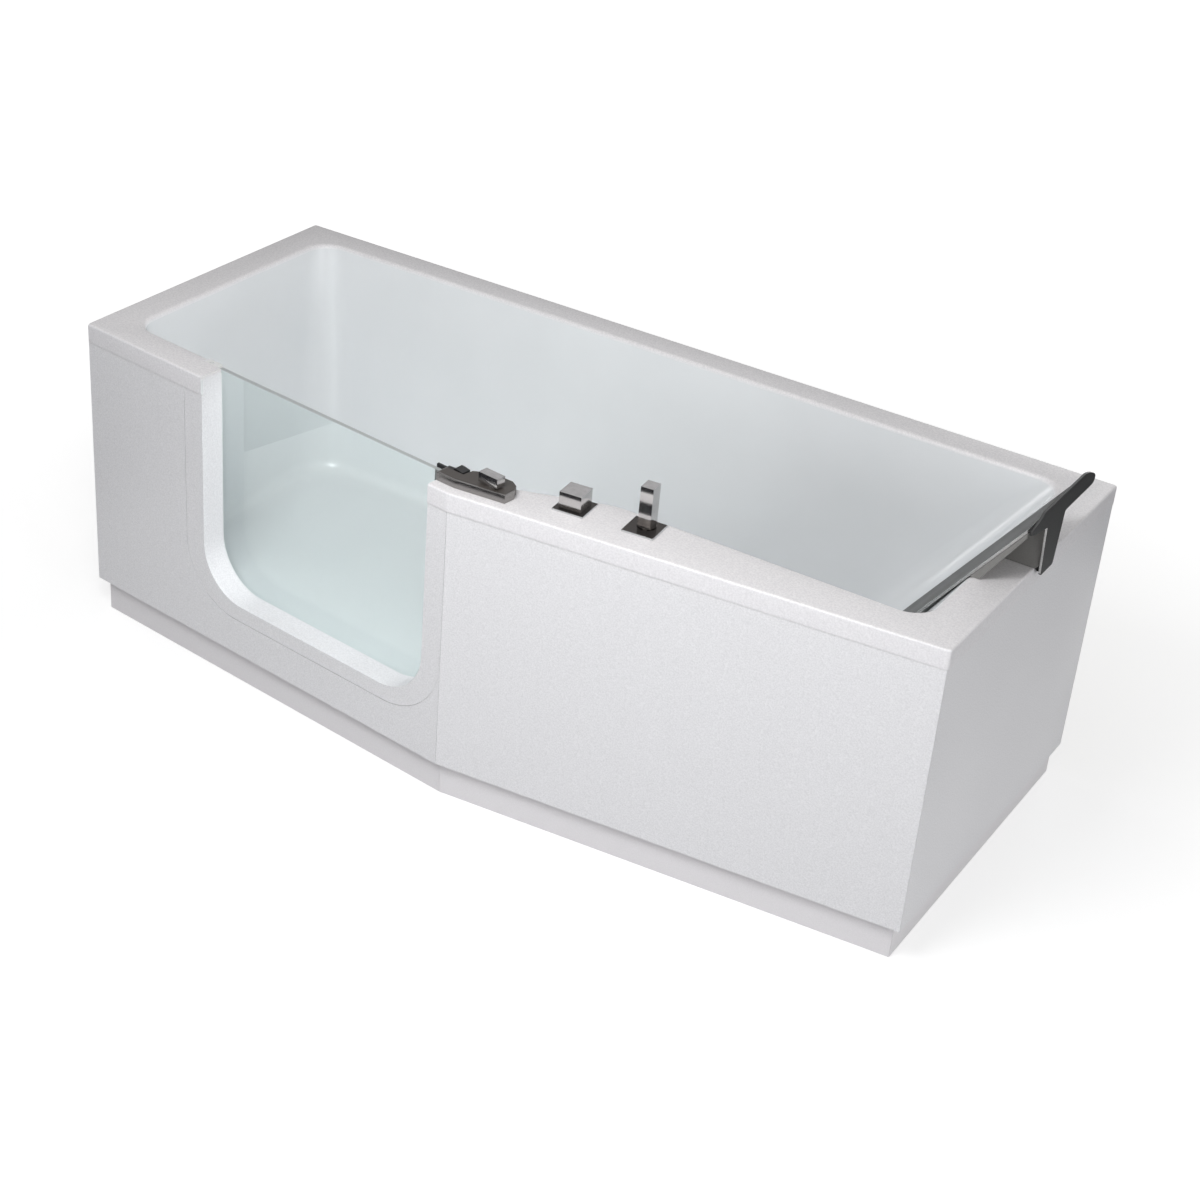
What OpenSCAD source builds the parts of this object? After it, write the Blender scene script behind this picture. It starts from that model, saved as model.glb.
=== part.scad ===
// Walk-in bath with an inward-opening glass door in its front, deck fittings on the rim and a
// back support hooked over the right end. The floor is z = 0, the wall side is +y, the door is
// at the front left. Every module draws in the corner frame, whose zero is the back left corner
// of the rim, and placed() moves it to the model's own origin.

/* [Bath] */
// Length of the rim
bath_l = 1700; // [1400:5:2050]
// Depth of the rim at the kink, its widest place
bath_w = 750; // [700:5:900]
// Depth of the rim at the left end
left_w = 648; // [600:1:700]
// Depth of the rim at the right end
right_w = 670; // [620:1:720]
// Distance of the kink from the left end
kink_x = 860; // [820:5:950]
// Height of the rim above the floor
rim_h = 590; // [490:5:710]
// Height of the well's floor above the room's floor
floor_z = 120; // [115:1:140]
// Thickness of the acrylic shell
shell_t = 5; // [4:0.5:7]
// Height of the rim's outer downstand
lip_h = 34; // [25:1:45]
// Width of the rim along the left end
rim_left = 67; // [55:1:80]
// Width of the rim along the wall
rim_back = 58; // [50:1:70]
// Width of the rim along the right end
rim_right = 70; // [60:1:85]
// Width of the rim along the right front
rim_front = 63; // [55:1:75]
// Width of the rim behind the door face
rim_door = 62; // [60:1:70]
// Slope of the right end of the well from the horizontal
end_slope = 56; // [54:1:65]

/* [Door] */
// Clear width of the door opening
opening_w = 528; // [440:1:560]
// Height of the sill above the room's floor
sill_z = 169; // [160:1:190]
// Radius of the opening's lower corners
opening_r = 95; // [70:1:120]
// Width of the jamb between the opening and the kink
right_jamb = 42; // [38:1:60]
// Thickness of the toughened glass
glass_t = 8; // [6:1:10]
// Diameter of the hinge post
post_d = 18; // [16:1:20]
// Diameter of the hinge pins
hinge_pin_d = 8; // [6:1:9]

/* [Panels and plinth] */
// Thickness of the apron panels
panel_t = 6; // [4:1:10]
// Height of the plinth
plinth_h = 67; // [60:1:80]
// Distance of the plinth behind the panel faces
plinth_inset = 15; // [10:1:25]
// Thickness of the plinth boards
plinth_t = 12; // [8:1:18]

/* [Frame] */
// Outer width of the frame tubes
tube_w = 30; // [25:1:35]
// Wall of the frame tubes
tube_t = 2; // [1.5:0.5:3]
// Diameter of the foot screws
foot_screw_d = 12; // [10:1:16]
// Diameter of the foot pads
foot_pad_d = 50; // [40:1:60]

/* [Fittings] */
// Side of the square rosettes under the mixer knob and the hand shower
rosette_w = 55; // [50:1:62]
// Width of the mixer knob
knob_w = 39; // [34:1:44]
// Height of the mixer knob
knob_h = 28; // [22:1:36]
// Width of the hand shower
shower_w = 22; // [20:1:26]
// Height of the hand shower above its rosette
shower_h = 68; // [60:1:90]
// Diameter of the hand shower's shank
shank_d = 18; // [14:1:19]
// Diameter of the overflow rosette
overflow_d = 66; // [58:1:76]
// Diameter of the waste outlet pipe
waste_d = 50; // [40:1:50]

/* [Lock] */
// Height of the lock above the rim at its ends
lock_h = 15; // [13:1:20]
// Pitch radius of the lock's pinion
pinion_r = 8; // [7:0.5:9]

/* [Back support] */
// Slope of the back support from the horizontal
back_slope = 53.2; // [50:0.2:55]
// Width of the back support
back_w = 225; // [190:1:270]
// Length of the back support below the rim, along its slope
back_down = 375; // [300:5:420]
// Thickness of the back support's plate
back_t = 4; // [3:0.5:6]
// Thickness of the hook plate
hook_t = 4.5; // [4:0.5:6]

/* [Hidden] */
$fn = 48;

gap = 0.3;                     // running or seating gap between pieces
arc_n = 8;                     // segments in each corner of the shell
hook_gap = 7.5;                // hook plate clear of the rim's outer face
hook_reach = hook_gap + hook_t;
acrylic = "white";
steel = "silver";
dark = "dimgray";

// ---- plan of the rim ----
function unit(v) = v / norm(v);
function left_of(v) = [-v[1], v[0]];
function mix(a, b, t) = a + (b - a) * t;
function meet(p, u, q, v) = p + u * (cross(q - p, v) / cross(u, v));

back_left = [0, 0];
left_front = [0, -left_w];
kink = [kink_x, -bath_w];
right_front = [bath_l, -right_w];
back_right = [bath_l, 0];
door_dir = unit(kink - left_front);
door_in = left_of(door_dir);
door_face_l = norm(kink - left_front);
door_turn = atan2(door_dir[1], door_dir[0]);
front_dir = unit(right_front - kink);
front_in = left_of(front_dir);
front_face_l = norm(right_front - kink);
front_turn = atan2(front_dir[1], front_dir[0]);

module placed() translate([-(bath_l + hook_reach) / 2, bath_w / 2, 0]) children();
// x along the door face from its left corner, y into the bath
module in_door_frame() translate([left_front[0], left_front[1], 0]) rotate([0, 0, door_turn]) children();
// x along the front face from the kink, y into the bath
module in_front_frame() translate([kink[0], kink[1], 0]) rotate([0, 0, front_turn]) children();

// ---- shell: rings of points, lofted from the inner floor over the rim to the underside ----
wall_draft = 22;               // lean of the upright walls from rim to floor
floor_r = 30;                  // fillet between walls and floor
edge_r = 8;                    // roll of the rim's inner edge
lip_r = 4;                     // roll of the rim's outer edge
flare_x = 229;                 // where the front rim's flare ends, from the kink
end_run = (rim_h - floor_z) / tan(end_slope);
door_line = left_front + door_in * rim_door;

function on_door_line(x) = meet(door_line, door_dir, [x, 0], [0, 1]);
// corner points and radii of the well at the rim and at the floor, from the back left, anticlockwise
rim_corners = [
    [rim_left, -rim_back], on_door_line(rim_left), on_door_line(kink_x + 8),
    [kink_x + flare_x, rim_front - right_w], [bath_l - rim_right, rim_front - right_w],
    [bath_l - rim_right, -rim_back]
];
floor_corners = [
    [rim_left + wall_draft, -rim_back - wall_draft], on_door_line(rim_left + wall_draft),
    on_door_line(kink_x + 20), [kink_x + flare_x - 10, rim_front - right_w + wall_draft],
    [bath_l - rim_right - end_run, rim_front - right_w + wall_draft],
    [bath_l - rim_right - end_run, -rim_back - wall_draft]
];
rim_radii = [48, 48, 60, 120, 45, 45];
floor_radii = [90, 90, 80, 150, 110, 110];
outer_corners = [
    back_left, left_front, kink, kink + front_dir * flare_x, right_front, back_right
];
outer_radii = [6, 6, 12, 0, 6, 6];
straight_half = 30;            // half the stretch that stands for a corner on a straight edge

// points of one rounded corner, moved inwards by inset; a radius of 0 marks a straight stretch
function corner_points(a, p, b, r, inset) =
    let (u = unit(a - p), v = unit(b - p))
    r == 0
    ? let (n = left_of(v)) [for (i = [0:arc_n]) p + v * straight_half * (2 * i / arc_n - 1) + n * inset]
    : let (
        half = acos(max(-1, min(1, u * v))) / 2,
        c = p + unit(u + v) * r / sin(half),
        t1 = p + u * r / tan(half),
        t2 = p + v * r / tan(half),
        convex = cross(p - a, b - p) > 0 ? 1 : -1,
        a1 = atan2(t1[1] - c[1], t1[0] - c[0]),
        turn = (atan2(t2[1] - c[1], t2[0] - c[0]) - a1 + 540) % 360 - 180,
        rr = r - convex * inset
    ) [for (i = [0:arc_n]) c + rr * [cos(a1 + turn * i / arc_n), sin(a1 + turn * i / arc_n)]];

function ring(corners, radii, inset, z) =
    let (n = len(corners))
    [for (k = [0:n - 1])
        for (p = corner_points(corners[(k + n - 1) % n], corners[k], corners[(k + 1) % n], radii[k], inset))
            [p[0], p[1], z]];

function well_t(z) = (rim_h - z) / (rim_h - floor_z);
function well_ring(inset, z) =
    let (t = max(0, min(1, well_t(z))))
    ring([for (k = [0:5]) mix(rim_corners[k], floor_corners[k], t)],
         [for (k = [0:5]) mix(rim_radii[k], floor_radii[k], t)], inset, z);
function outer_ring(inset, z) = ring(outer_corners, outer_radii, inset, z);

quarter = [0, 22.5, 45, 67.5, 90];
function shell_rings() = concat(
    [for (a = quarter) well_ring(floor_r * (1 - sin(a)), floor_z + floor_r * (1 - cos(a)))],
    [for (a = quarter) well_ring(-edge_r * (1 - cos(a)), rim_h - edge_r * (1 - sin(a)))],
    [for (a = quarter) outer_ring(lip_r * (1 - sin(a)), rim_h - lip_r * (1 - cos(a)))],
    [outer_ring(0, rim_h - lip_h), outer_ring(shell_t, rim_h - lip_h)],
    [outer_ring(shell_t, rim_h - shell_t), well_ring(-shell_t, rim_h - shell_t)],
    [for (a = [90, 60, 30, 0])
        well_ring(floor_r - (floor_r + shell_t) * sin(a), floor_z + floor_r - (floor_r + shell_t) * cos(a))]
);

module loft(rings) {
    n = len(rings[0]);
    m = len(rings);
    polyhedron(
        points = [for (r = rings) for (p = r) p],
        faces = concat(
            [[for (j = [n - 1:-1:0]) j]],
            [for (i = [0:m - 2]) for (j = [0:n - 1]) [i * n + j, i * n + (j + 1) % n, (i + 1) * n + (j + 1) % n]],
            [for (i = [0:m - 2]) for (j = [0:n - 1]) [i * n + j, (i + 1) * n + (j + 1) % n, (i + 1) * n + j]],
            [[for (j = [0:n - 1]) (m - 1) * n + j]]
        ),
        convexity = 8
    );
}

// ---- door opening, in the door frame ----
opening_x1 = door_face_l - right_jamb;
opening_x0 = opening_x1 - opening_w;
reveal_d = 47;                 // depth of the reveal, from the door face to the sealing face
rebate = 14;                   // rebate round the opening for glass and seal
hinge_side = 42;               // the rebate's width on the hinge side
seam = 44;                     // visible width of the surround beside the opening
seam_foot = 30;                // and below it
seal_t = 3;
glass_lap = 10;                // glass past the opening
glass_y = reveal_d + seal_t + gap;
post_x = opening_x0 - 30;
post_y = glass_y + glass_t / 2;
glass_top = rim_h - 3;
block_h = 25;
post_z0 = sill_z + opening_r + 24;
post_z1 = rim_h - block_h - 1;
surround_t = 4;

// rounded U of the opening grown by these amounts and cut off at top, drawn as x and z
module u_area(left, right, foot, top) {
    r = opening_r + foot;
    x0 = opening_x0 - left;
    x1 = opening_x1 + right;
    z0 = sill_z - foot;
    translate([x0, z0 + r]) square([x1 - x0, top - z0 - r]);
    translate([x0 + r, z0]) square([x1 - x0 - 2 * r, r + 1]);
    for (x = [x0 + r, x1 - r]) translate([x, z0 + r]) circle(r, $fn = 96);
}
// the same area as a prism from depth y0 to y1
module u_prism(y0, y1, left, right, foot, top)
    translate([0, y1, 0]) rotate([90, 0, 0]) linear_extrude(y1 - y0) u_area(left, right, foot, top);

deck_y = 73;                   // fittings behind the front face
mixer_x = 190;
shower_x = 312;
shower_back = 8;               // hand shower behind the middle of its rosette
deck_hole_d = 35;
overflow_in = 380;             // overflow before the right end of the well at the rim
overflow_x = bath_l - rim_right - overflow_in;
overflow_z = rim_h - 95;
overflow_t = well_t(overflow_z);
overflow_y = rim_front - right_w + wall_draft * overflow_t;
overflow_tilt = atan(wall_draft / (rim_h - floor_z));
overflow_hole_d = 52;
drain_x = kink_x - 40;
drain_y = -rim_back - 270;
drain_hole_d = 52;
drain_recess_d = 74;
drain_recess_h = 2;
module at_drain(z) translate([drain_x, drain_y, z]) children();
// z of the children points out of the front wall into the well
module at_overflow() translate([overflow_x, overflow_y, overflow_z])
    rotate([-90 + overflow_tilt, 0, 0]) children();

module tub_shell() placed() color(acrylic) difference() {
    loft(shell_rings());
    in_door_frame() {
        u_prism(-lip_r, reveal_d, 0, 0, 0, rim_h + 1);
        u_prism(reveal_d, rim_door + shell_t + 8, hinge_side + surround_t + gap, rebate + surround_t + gap,
            rebate + surround_t + gap, rim_h + 1);
    }
    at_deck(mixer_x) translate([0, 0, -shell_t - 1]) cylinder(d = deck_hole_d, h = shell_t + 2);
    at_deck(shower_x, shower_back) translate([0, 0, -shell_t - 1]) cylinder(d = deck_hole_d, h = shell_t + 2);
    at_drain(floor_z - shell_t - 1) cylinder(d = drain_hole_d, h = shell_t + 2);
    at_overflow() translate([0, 0, -shell_t - 4]) cylinder(d = overflow_hole_d, h = shell_t + 8);
}

// moulded frame that lines the opening and carries seal and hinge
flange_y = 1.5;                // panel faces lie this far behind the downstand
module door_surround() placed() color(acrylic) in_door_frame() difference() {
    union() {
        u_prism(flange_y, flange_y + panel_t, seam, right_jamb - seam_gap, seam_foot, panel_top);
        u_prism(flange_y, shell_t + 1, surround_t, surround_t, surround_t, panel_top);
        u_prism(shell_t + gap, reveal_d, surround_t, surround_t, surround_t, rim_h - shell_t - gap);
        u_prism(reveal_d - 8, reveal_d + gap + 1, hinge_side + surround_t, rebate + surround_t,
            rebate + surround_t, rim_h - shell_t - gap);
        u_prism(reveal_d + gap, rim_door, hinge_side + surround_t, rebate + surround_t, rebate + surround_t,
            rim_h);
        u_prism(rim_door - gap, rim_door + 3, hinge_side + surround_t, rebate + surround_t,
            rebate + surround_t, rim_h - 12);
        u_prism(rim_door + gap, rim_door + 3, hinge_side + 12, rebate + 12, rebate + 5, rim_h - 12);
    }
    u_prism(-1, reveal_d + 1, 0, 0, 0, rim_h + 1);
    u_prism(reveal_d, rim_door + 4, hinge_side, rebate, rebate, rim_h + 1);
    translate([post_x, post_y, post_z0 - 2]) cylinder(d = post_d + 1.4, h = rim_h);
}

// ---- panels: apron faces with ribs behind, set below the downstand ----
seam_gap = 1.2;
panel_top = rim_h - lip_h - 0.5;
panel_h = panel_top - plinth_h;
rib_t = 4;
rib_d = 12;
// half the turn between neighbouring faces, at the left corner, the kink and the right corner
half_left = (90 + door_turn) / 2;
half_kink = (front_turn - door_turn) / 2;
half_right = (90 - front_turn) / 2;
module apron(x0, x1, z0, z1) translate([x0, flange_y, z0]) cube([x1 - x0, panel_t, z1 - z0]);
// what lies past a mitre at the start or at the end of a face
module before_mitre(half) translate([0, 0, -1]) rotate([0, 0, -half])
    translate([gap / 2 - 200, -100, 0]) cube([200, 400, rim_h]);
module past_mitre(x, half) translate([x, 0, -1]) rotate([0, 0, half])
    translate([-gap / 2, -100, 0]) cube([200, 400, rim_h]);
module ribs(x0, x1, zs) for (z = zs)
    translate([x0, flange_y + panel_t - 0.5, z]) cube([x1 - x0, rib_d + 0.5, rib_t]);

rib_levels = [plinth_h + 4, plinth_h + panel_h / 2, panel_top - 8];
module panel_door_side() placed() color(acrylic) in_door_frame() difference() {
    union() {
        apron(0, door_face_l, plinth_h, panel_top);
        ribs(panel_t + 4, opening_x0 - seam - 12, rib_levels);
        ribs(opening_x0 - seam - 12.5, door_face_l - 30, [plinth_h + 4]);
    }
    u_prism(-1, flange_y + panel_t + 1, seam + seam_gap, right_jamb - 1, seam_foot + seam_gap, panel_top + 1);
    before_mitre(half_left);
    past_mitre(door_face_l, half_kink);
}
module panel_front() placed() color(acrylic) in_front_frame() difference() {
    union() {
        apron(0, front_face_l, plinth_h, panel_top);
        ribs(30, front_face_l - 40, rib_levels);
    }
    before_mitre(half_kink);
    past_mitre(front_face_l, half_right);
}
module end_panel(depth, half) difference() {
    union() {
        apron(2, depth, plinth_h, panel_top);
        ribs(10, depth - 60, rib_levels);
    }
    past_mitre(depth, half);
}
// both end panels run from the wall to a mitred front corner
module panel_right_end() placed() color(acrylic)
    translate([bath_l, 0, 0]) rotate([0, 0, -90]) mirror([0, 1, 0]) end_panel(right_w, half_right);
module panel_left_end() placed() color(acrylic)
    rotate([0, 0, -90]) end_panel(left_w, half_left);

// ---- plinth: boards set back under the panels ----
plinth_top = plinth_h + 4 - gap;
module board(x0, x1) translate([x0, flange_y + plinth_inset, 0.5])
    cube([x1 - x0, plinth_t, plinth_top - 0.5]);
module end_board(depth, half) difference() {
    board(2, depth);
    past_mitre(depth, half);
}
module plinth_door_side() placed() color(acrylic) in_door_frame() difference() {
    board(0, door_face_l);
    before_mitre(half_left);
    past_mitre(door_face_l, half_kink);
}
module plinth_front() placed() color(acrylic) in_front_frame() difference() {
    board(0, front_face_l);
    before_mitre(half_kink);
    past_mitre(front_face_l, half_right);
}
module plinth_right() placed() color(acrylic)
    translate([bath_l, 0, 0]) rotate([0, 0, -90]) mirror([0, 1, 0]) end_board(right_w, half_right);
module plinth_left() placed() color(acrylic) rotate([0, 0, -90]) end_board(left_w, half_left);

// ---- frame: two long rails, four cross tubes, feet, and posts up to the rim ----
rail_z = 70;
rail_back = -120;
rail_front = 108 - left_w;
post_left = 45;
post_right = bath_l - 45;
floor_end = bath_l - rim_right - end_run;
cross_x = [post_left + 270, drain_x - 220, drain_x + 190, floor_end - 83];
feet_x = [62, drain_x - 220, drain_x + 190, bath_l - 64];
// square tube between x0 and x1, centred on y, standing on z
module tube_x(x0, x1, y, z) translate([x0, y - tube_w / 2, z]) difference() {
    cube([x1 - x0, tube_w, tube_w]);
    translate([-1, tube_t, tube_t]) cube([x1 - x0 + 2, tube_w - 2 * tube_t, tube_w - 2 * tube_t]);
}
module tube_y(x, y0, y1, z) translate([x - tube_w / 2, y0, z]) difference() {
    cube([tube_w, y1 - y0, tube_w]);
    translate([tube_t, -1, tube_t]) cube([tube_w - 2 * tube_t, y1 - y0 + 2, tube_w - 2 * tube_t]);
}
module at_feet() for (x = feet_x) for (y = [rail_back, rail_front]) translate([x, y, 0]) children();
module base_frame() placed() color(steel) difference() {
    union() {
        for (y = [rail_back, rail_front])
            tube_x(post_left - tube_w / 2, post_right + tube_w / 2, y, rail_z);
        for (x = cross_x) tube_y(x, rail_front + tube_w / 2, rail_back - tube_w / 2, rail_z);
    }
    at_feet() translate([0, 0, rail_z - 1]) cylinder(d = foot_screw_d + 0.6, h = tube_w / 2);
}
module rim_posts() placed() color(steel)
    for (x = [post_left, post_right]) for (y = [rail_back, rail_front])
        translate([x - tube_w / 2, y - tube_w / 2, rail_z + tube_w]) difference() {
            cube([tube_w, tube_w, rim_h - shell_t - gap - rail_z - tube_w]);
            translate([tube_t, tube_t, -1])
                cube([tube_w - 2 * tube_t, tube_w - 2 * tube_t, rim_h]);
        }
pad_h = 12;
module foot_screws() placed() color(steel) at_feet()
    translate([0, 0, pad_h - 5]) cylinder(d = foot_screw_d, h = rail_z + tube_w - tube_t - 6 - pad_h);
module foot_nuts() placed() color(steel) at_feet() translate([0, 0, rail_z - 10.3]) difference() {
    cylinder(d = foot_screw_d * 1.7, h = 10, $fn = 6);
    translate([0, 0, -1]) cylinder(d = foot_screw_d + 0.1, h = 12);
}
module foot_pads() placed() color(dark) at_feet() difference() {
    union() {
        cylinder(d = foot_pad_d, h = 5);
        cylinder(d1 = foot_pad_d - 8, d2 = foot_screw_d + 8, h = pad_h);
    }
    translate([0, 0, pad_h - 5.3]) cylinder(d = foot_screw_d + 0.1, h = 10);
}
board_top = floor_z - shell_t - gap;
module floor_board() placed() color("burlywood") difference() {
    translate([rim_left + wall_draft + 56, 118 - left_w, rail_z + tube_w + gap])
        cube([floor_end - rim_left - wall_draft - 124, left_w - rim_back - wall_draft - 173,
            board_top - rail_z - tube_w - gap]);
    at_drain(rail_z) cylinder(d = 70, h = 60);
}

// ---- door: glass, its post and pins, the seal round the opening ----
fin_l = 20;
glass_x0 = post_x + 9.5;
module door_glass() placed() color("lightblue") in_door_frame() difference() {
    u_prism(glass_y, glass_y + glass_t, opening_x0 - glass_x0, glass_lap, glass_lap, glass_top);
    translate([post_x, glass_y - 1, post_z1 - 1]) cube([22, glass_t + 2, 60]);
    translate([post_x, glass_y - 1, 0]) cube([22, glass_t + 2, post_z0 + 1]);
    keeper_holes() cylinder(d = 8, h = glass_t + 2);
}
module door_seal() placed() color(dark) in_door_frame() difference() {
    u_prism(reveal_d, reveal_d + seal_t, 9, 9, 9, rim_h - 8);
    u_prism(reveal_d - 1, reveal_d + seal_t + 1, 1, 1, 1, rim_h);
}
bush_d = 12;
bush_l = 22;
module at_post(z) in_door_frame() translate([post_x, post_y, z]) children();
module hinge_post() placed() color(steel) at_post(post_z0) difference() {
    union() {
        cylinder(d = post_d, h = post_z1 - post_z0);
        translate([0, -6.2, 0]) cube([fin_l, 12.4, post_z1 - post_z0]);
    }
    translate([glass_x0 - post_x - gap, -glass_t / 2 - gap, -1])
        cube([fin_l, glass_t + 2 * gap, post_z1 - post_z0 + 2]);
    translate([0, 0, -1]) cylinder(d = bush_d + 0.1, h = bush_l + 1);
    translate([0, 0, post_z1 - post_z0 - bush_l]) cylinder(d = bush_d + 0.1, h = bush_l + 1);
}
module bush(len) difference() {
    union() {
        cylinder(d = bush_d, h = len);
        translate([0, 0, -0.7]) cylinder(d = bush_d + 4, h = 0.6);
        translate([0, 0, -0.2]) cylinder(d = bush_d, h = 1);
    }
    translate([0, 0, -1]) cylinder(d = hinge_pin_d + 0.1, h = len + 2);
}
module hinge_bushes() placed() color("ivory") {
    at_post(post_z0) bush(bush_l - 0.5);
    at_post(post_z1) mirror([0, 0, 1]) bush(bush_l - 0.5);
}
module hinge_pins() placed() color(steel) {
    at_post(post_z0 - 20) cylinder(d = hinge_pin_d, h = 38);
    at_post(post_z1 - 18) cylinder(d = hinge_pin_d, h = 38);
}
module hinge_block() difference() {
    translate([-11.6, -7, 0]) cube([29.6, 14, block_h]);
    translate([0, 0, -1]) cylinder(d = hinge_pin_d + 0.1, h = block_h + 2);
}
module hinge_block_top() placed() color(acrylic) at_post(rim_h - block_h) hinge_block();
module hinge_block_bottom() placed() color(acrylic) at_post(post_z0 - 1 - block_h) hinge_block();

// ---- latch: the keeper on the glass corner, and the bolt driven by the lock's knob ----
keeper_x0 = opening_x1 - 34;
keeper_x1 = opening_x1 + 33;
keeper_y1 = glass_y + glass_t + 5;
bolt_w = 9;
bolt_h = 6;
bolt_z = rim_h + 4;
// z of the children points into the bath
module keeper_holes() for (x = [keeper_x0 + 8, keeper_x0 + 26])
    translate([x, glass_y - 1, rim_h - 30]) rotate([-90, 0, 0]) children();
module latch_keeper() placed() color(dark) in_door_frame() difference() {
    union() {
        translate([keeper_x0, glass_y + glass_t + gap, rim_h - 42]) cube([43, 5 - gap, 45]);
        translate([keeper_x0 + 22, post_y - 7, glass_top + gap]) cube([21, 10, 5]);
        translate([keeper_x1, post_y + 9.5, rim_h + 1.5]) rotate([90, 0, 0]) linear_extrude(18)
            polygon([[-45, 0], [0, 0], [0, 13.5], [-13, 15.5], [-18, 15.5], [-24, 6], [-45, 4]]);
    }
    translate([keeper_x1 - 14 - gap, post_y - 10, rim_h + 1.5]) cube([20, 20, 20]);
    keeper_holes() translate([0, 0, glass_t]) cylinder(d = 5.1, h = 20);
}
// the striker box on the end of the keeper, which the bolt runs into
module keeper_box() placed() color(dark) in_door_frame() difference() {
    translate([keeper_x1, post_y + 9.5, rim_h + 1.5]) rotate([90, 0, 0]) linear_extrude(18)
        polygon([[-14, gap], [0, gap], [0, 13.5], [-13, 15.5], [-14, 15.5]]);
    translate([keeper_x1 - 16, post_y - bolt_w / 2 - 1.5, bolt_z - 1])
        cube([20, bolt_w + 3, bolt_h + 2]);
}
module keeper_screws() placed() color(steel) in_door_frame() keeper_holes() {
    translate([0, 0, 1]) cylinder(d = 5, h = glass_t + 4);
    translate([0, 0, -2.3]) cylinder(d = 12, h = 3);
    translate([0, 0, 0]) cylinder(d = 5, h = 2);
}

lock_outline = [
    [-5, 22.6], [29.4, 22.6], [118.1, 41.6], [118.1, 62.3], [112, 76], [98, 84], [80, 83], [40, 71],
    [30, 64], [28, 44], [-5, 44]
];
// the lock's own frame: x from 8 past the opening's right edge, y from the door face
module in_lock_frame() in_door_frame() translate([opening_x1 + 8, 0, rim_h]) children();
spindle_x = 82;
spindle_y = 50;
rack_y = spindle_y + pinion_r;
cavity = [[30.5, 47], [66, 47], [66, 33.5], [104, 41], [112, 47], [112, 62], [104, 72], [92, 78], [80, 77],
    [42, 65.5], [33, 61.5], [30.5, 61.5]];
module lock_base() placed() color(dark) in_lock_frame() translate([0, 0, gap]) difference() {
    linear_extrude(2) polygon(lock_outline);
    for (p = [[12, 33], [104, 68]]) translate([p[0], p[1], -1]) cylinder(d = 4, h = 4);
    translate([spindle_x, spindle_y, -1]) cylinder(d = 6.1, h = 4);
}
module lock_cover() placed() color(dark) in_lock_frame() difference() {
    translate([0, 0, 2.3 + gap]) linear_extrude(lock_h - 2.3 - gap) polygon(lock_outline);
    translate([0, 0, 2]) linear_extrude(lock_h - 4) polygon(cavity);
    translate([20, post_y - bolt_w / 2 - gap, bolt_z - rim_h - gap]) cube([20, bolt_w + 2 * gap, bolt_h + 2 * gap]);
    translate([spindle_x, spindle_y, 0]) cylinder(d = 10.1, h = 40);
}
// bright strip round the front of the lock, stepped back at the top
module lock_fascia() placed() color(steel) in_lock_frame() translate([0, 0, gap]) {
    difference() {
        linear_extrude(lock_h) polygon([[-7, 19], [30.4, 19], [121, 38.2], [121, 62], [118.4, 62],
            [118.4, 41.3], [29.5, 22.3], [-5.3, 22.3], [-5.3, 44], [-7, 44]]);
        translate([-20, 0, lock_h - 1.2]) cube([170, 20.2, 5]);
    }
}
module lock_knob() placed() color(dark) in_lock_frame() translate([spindle_x, spindle_y, lock_h + 0.5]) {
    difference() {
        union() {
            translate([-19.5, -9.5, 2.5]) cube([39, 19, 17]);
            cylinder(d = 17, h = 4);
        }
        translate([0, 0, -1]) cylinder(d = 8.1, h = 14);
    }
}
pinion_teeth = 12;
tooth_m = 2 * pinion_r / pinion_teeth;
module pinion() {
    step = 360 / pinion_teeth;
    cylinder(r = pinion_r - 1.2 * tooth_m, h = 7);
    linear_extrude(7) for (i = [0:pinion_teeth - 1]) rotate([0, 0, i * step])
        polygon([[0, -2], [pinion_r - 1.25 * tooth_m, -tooth_m * 0.95], [pinion_r, -tooth_m * 0.66],
            [pinion_r + 0.85 * tooth_m, -tooth_m * 0.3], [pinion_r + 0.85 * tooth_m, tooth_m * 0.3],
            [pinion_r, tooth_m * 0.66], [pinion_r - 1.25 * tooth_m, tooth_m * 0.95], [0, 2]]);
}
module lock_spindle() placed() color(steel) in_lock_frame() translate([spindle_x, spindle_y, 0]) {
    translate([0, 0, 0.5]) cylinder(d = 6, h = 4);
    translate([0, 0, 3.2]) pinion();
    translate([0, 0, 10]) cylinder(d = 10, h = lock_h - 10.2);
    translate([0, 0, lock_h - 1]) cylinder(d = 8, h = 14);
}
// bar with a rack behind the pinion; the rack's teeth stand between the pinion's at rest
module latch_bolt() placed() color(steel) in_lock_frame() translate([0, 0, bolt_z - rim_h]) {
    pitch = PI * tooth_m;
    translate([29.5, post_y - bolt_w / 2, 0]) cube([38, bolt_w, bolt_h]);
    translate([58, rack_y + 1.3 * tooth_m, 0]) cube([48, 4.4, bolt_h]);
    translate([58, post_y - 2, 0]) cube([7, 10, bolt_h]);
    linear_extrude(bolt_h) for (i = [-2:5]) translate([spindle_x + (i + 0.5) * pitch, rack_y + 1.4 * tooth_m])
        polygon([[-tooth_m * 1.05, 0], [-tooth_m * 0.62, -1.4 * tooth_m], [-tooth_m * 0.3, -2.2 * tooth_m],
            [tooth_m * 0.3, -2.2 * tooth_m], [tooth_m * 0.62, -1.4 * tooth_m], [tooth_m * 1.05, 0]]);
}

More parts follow.
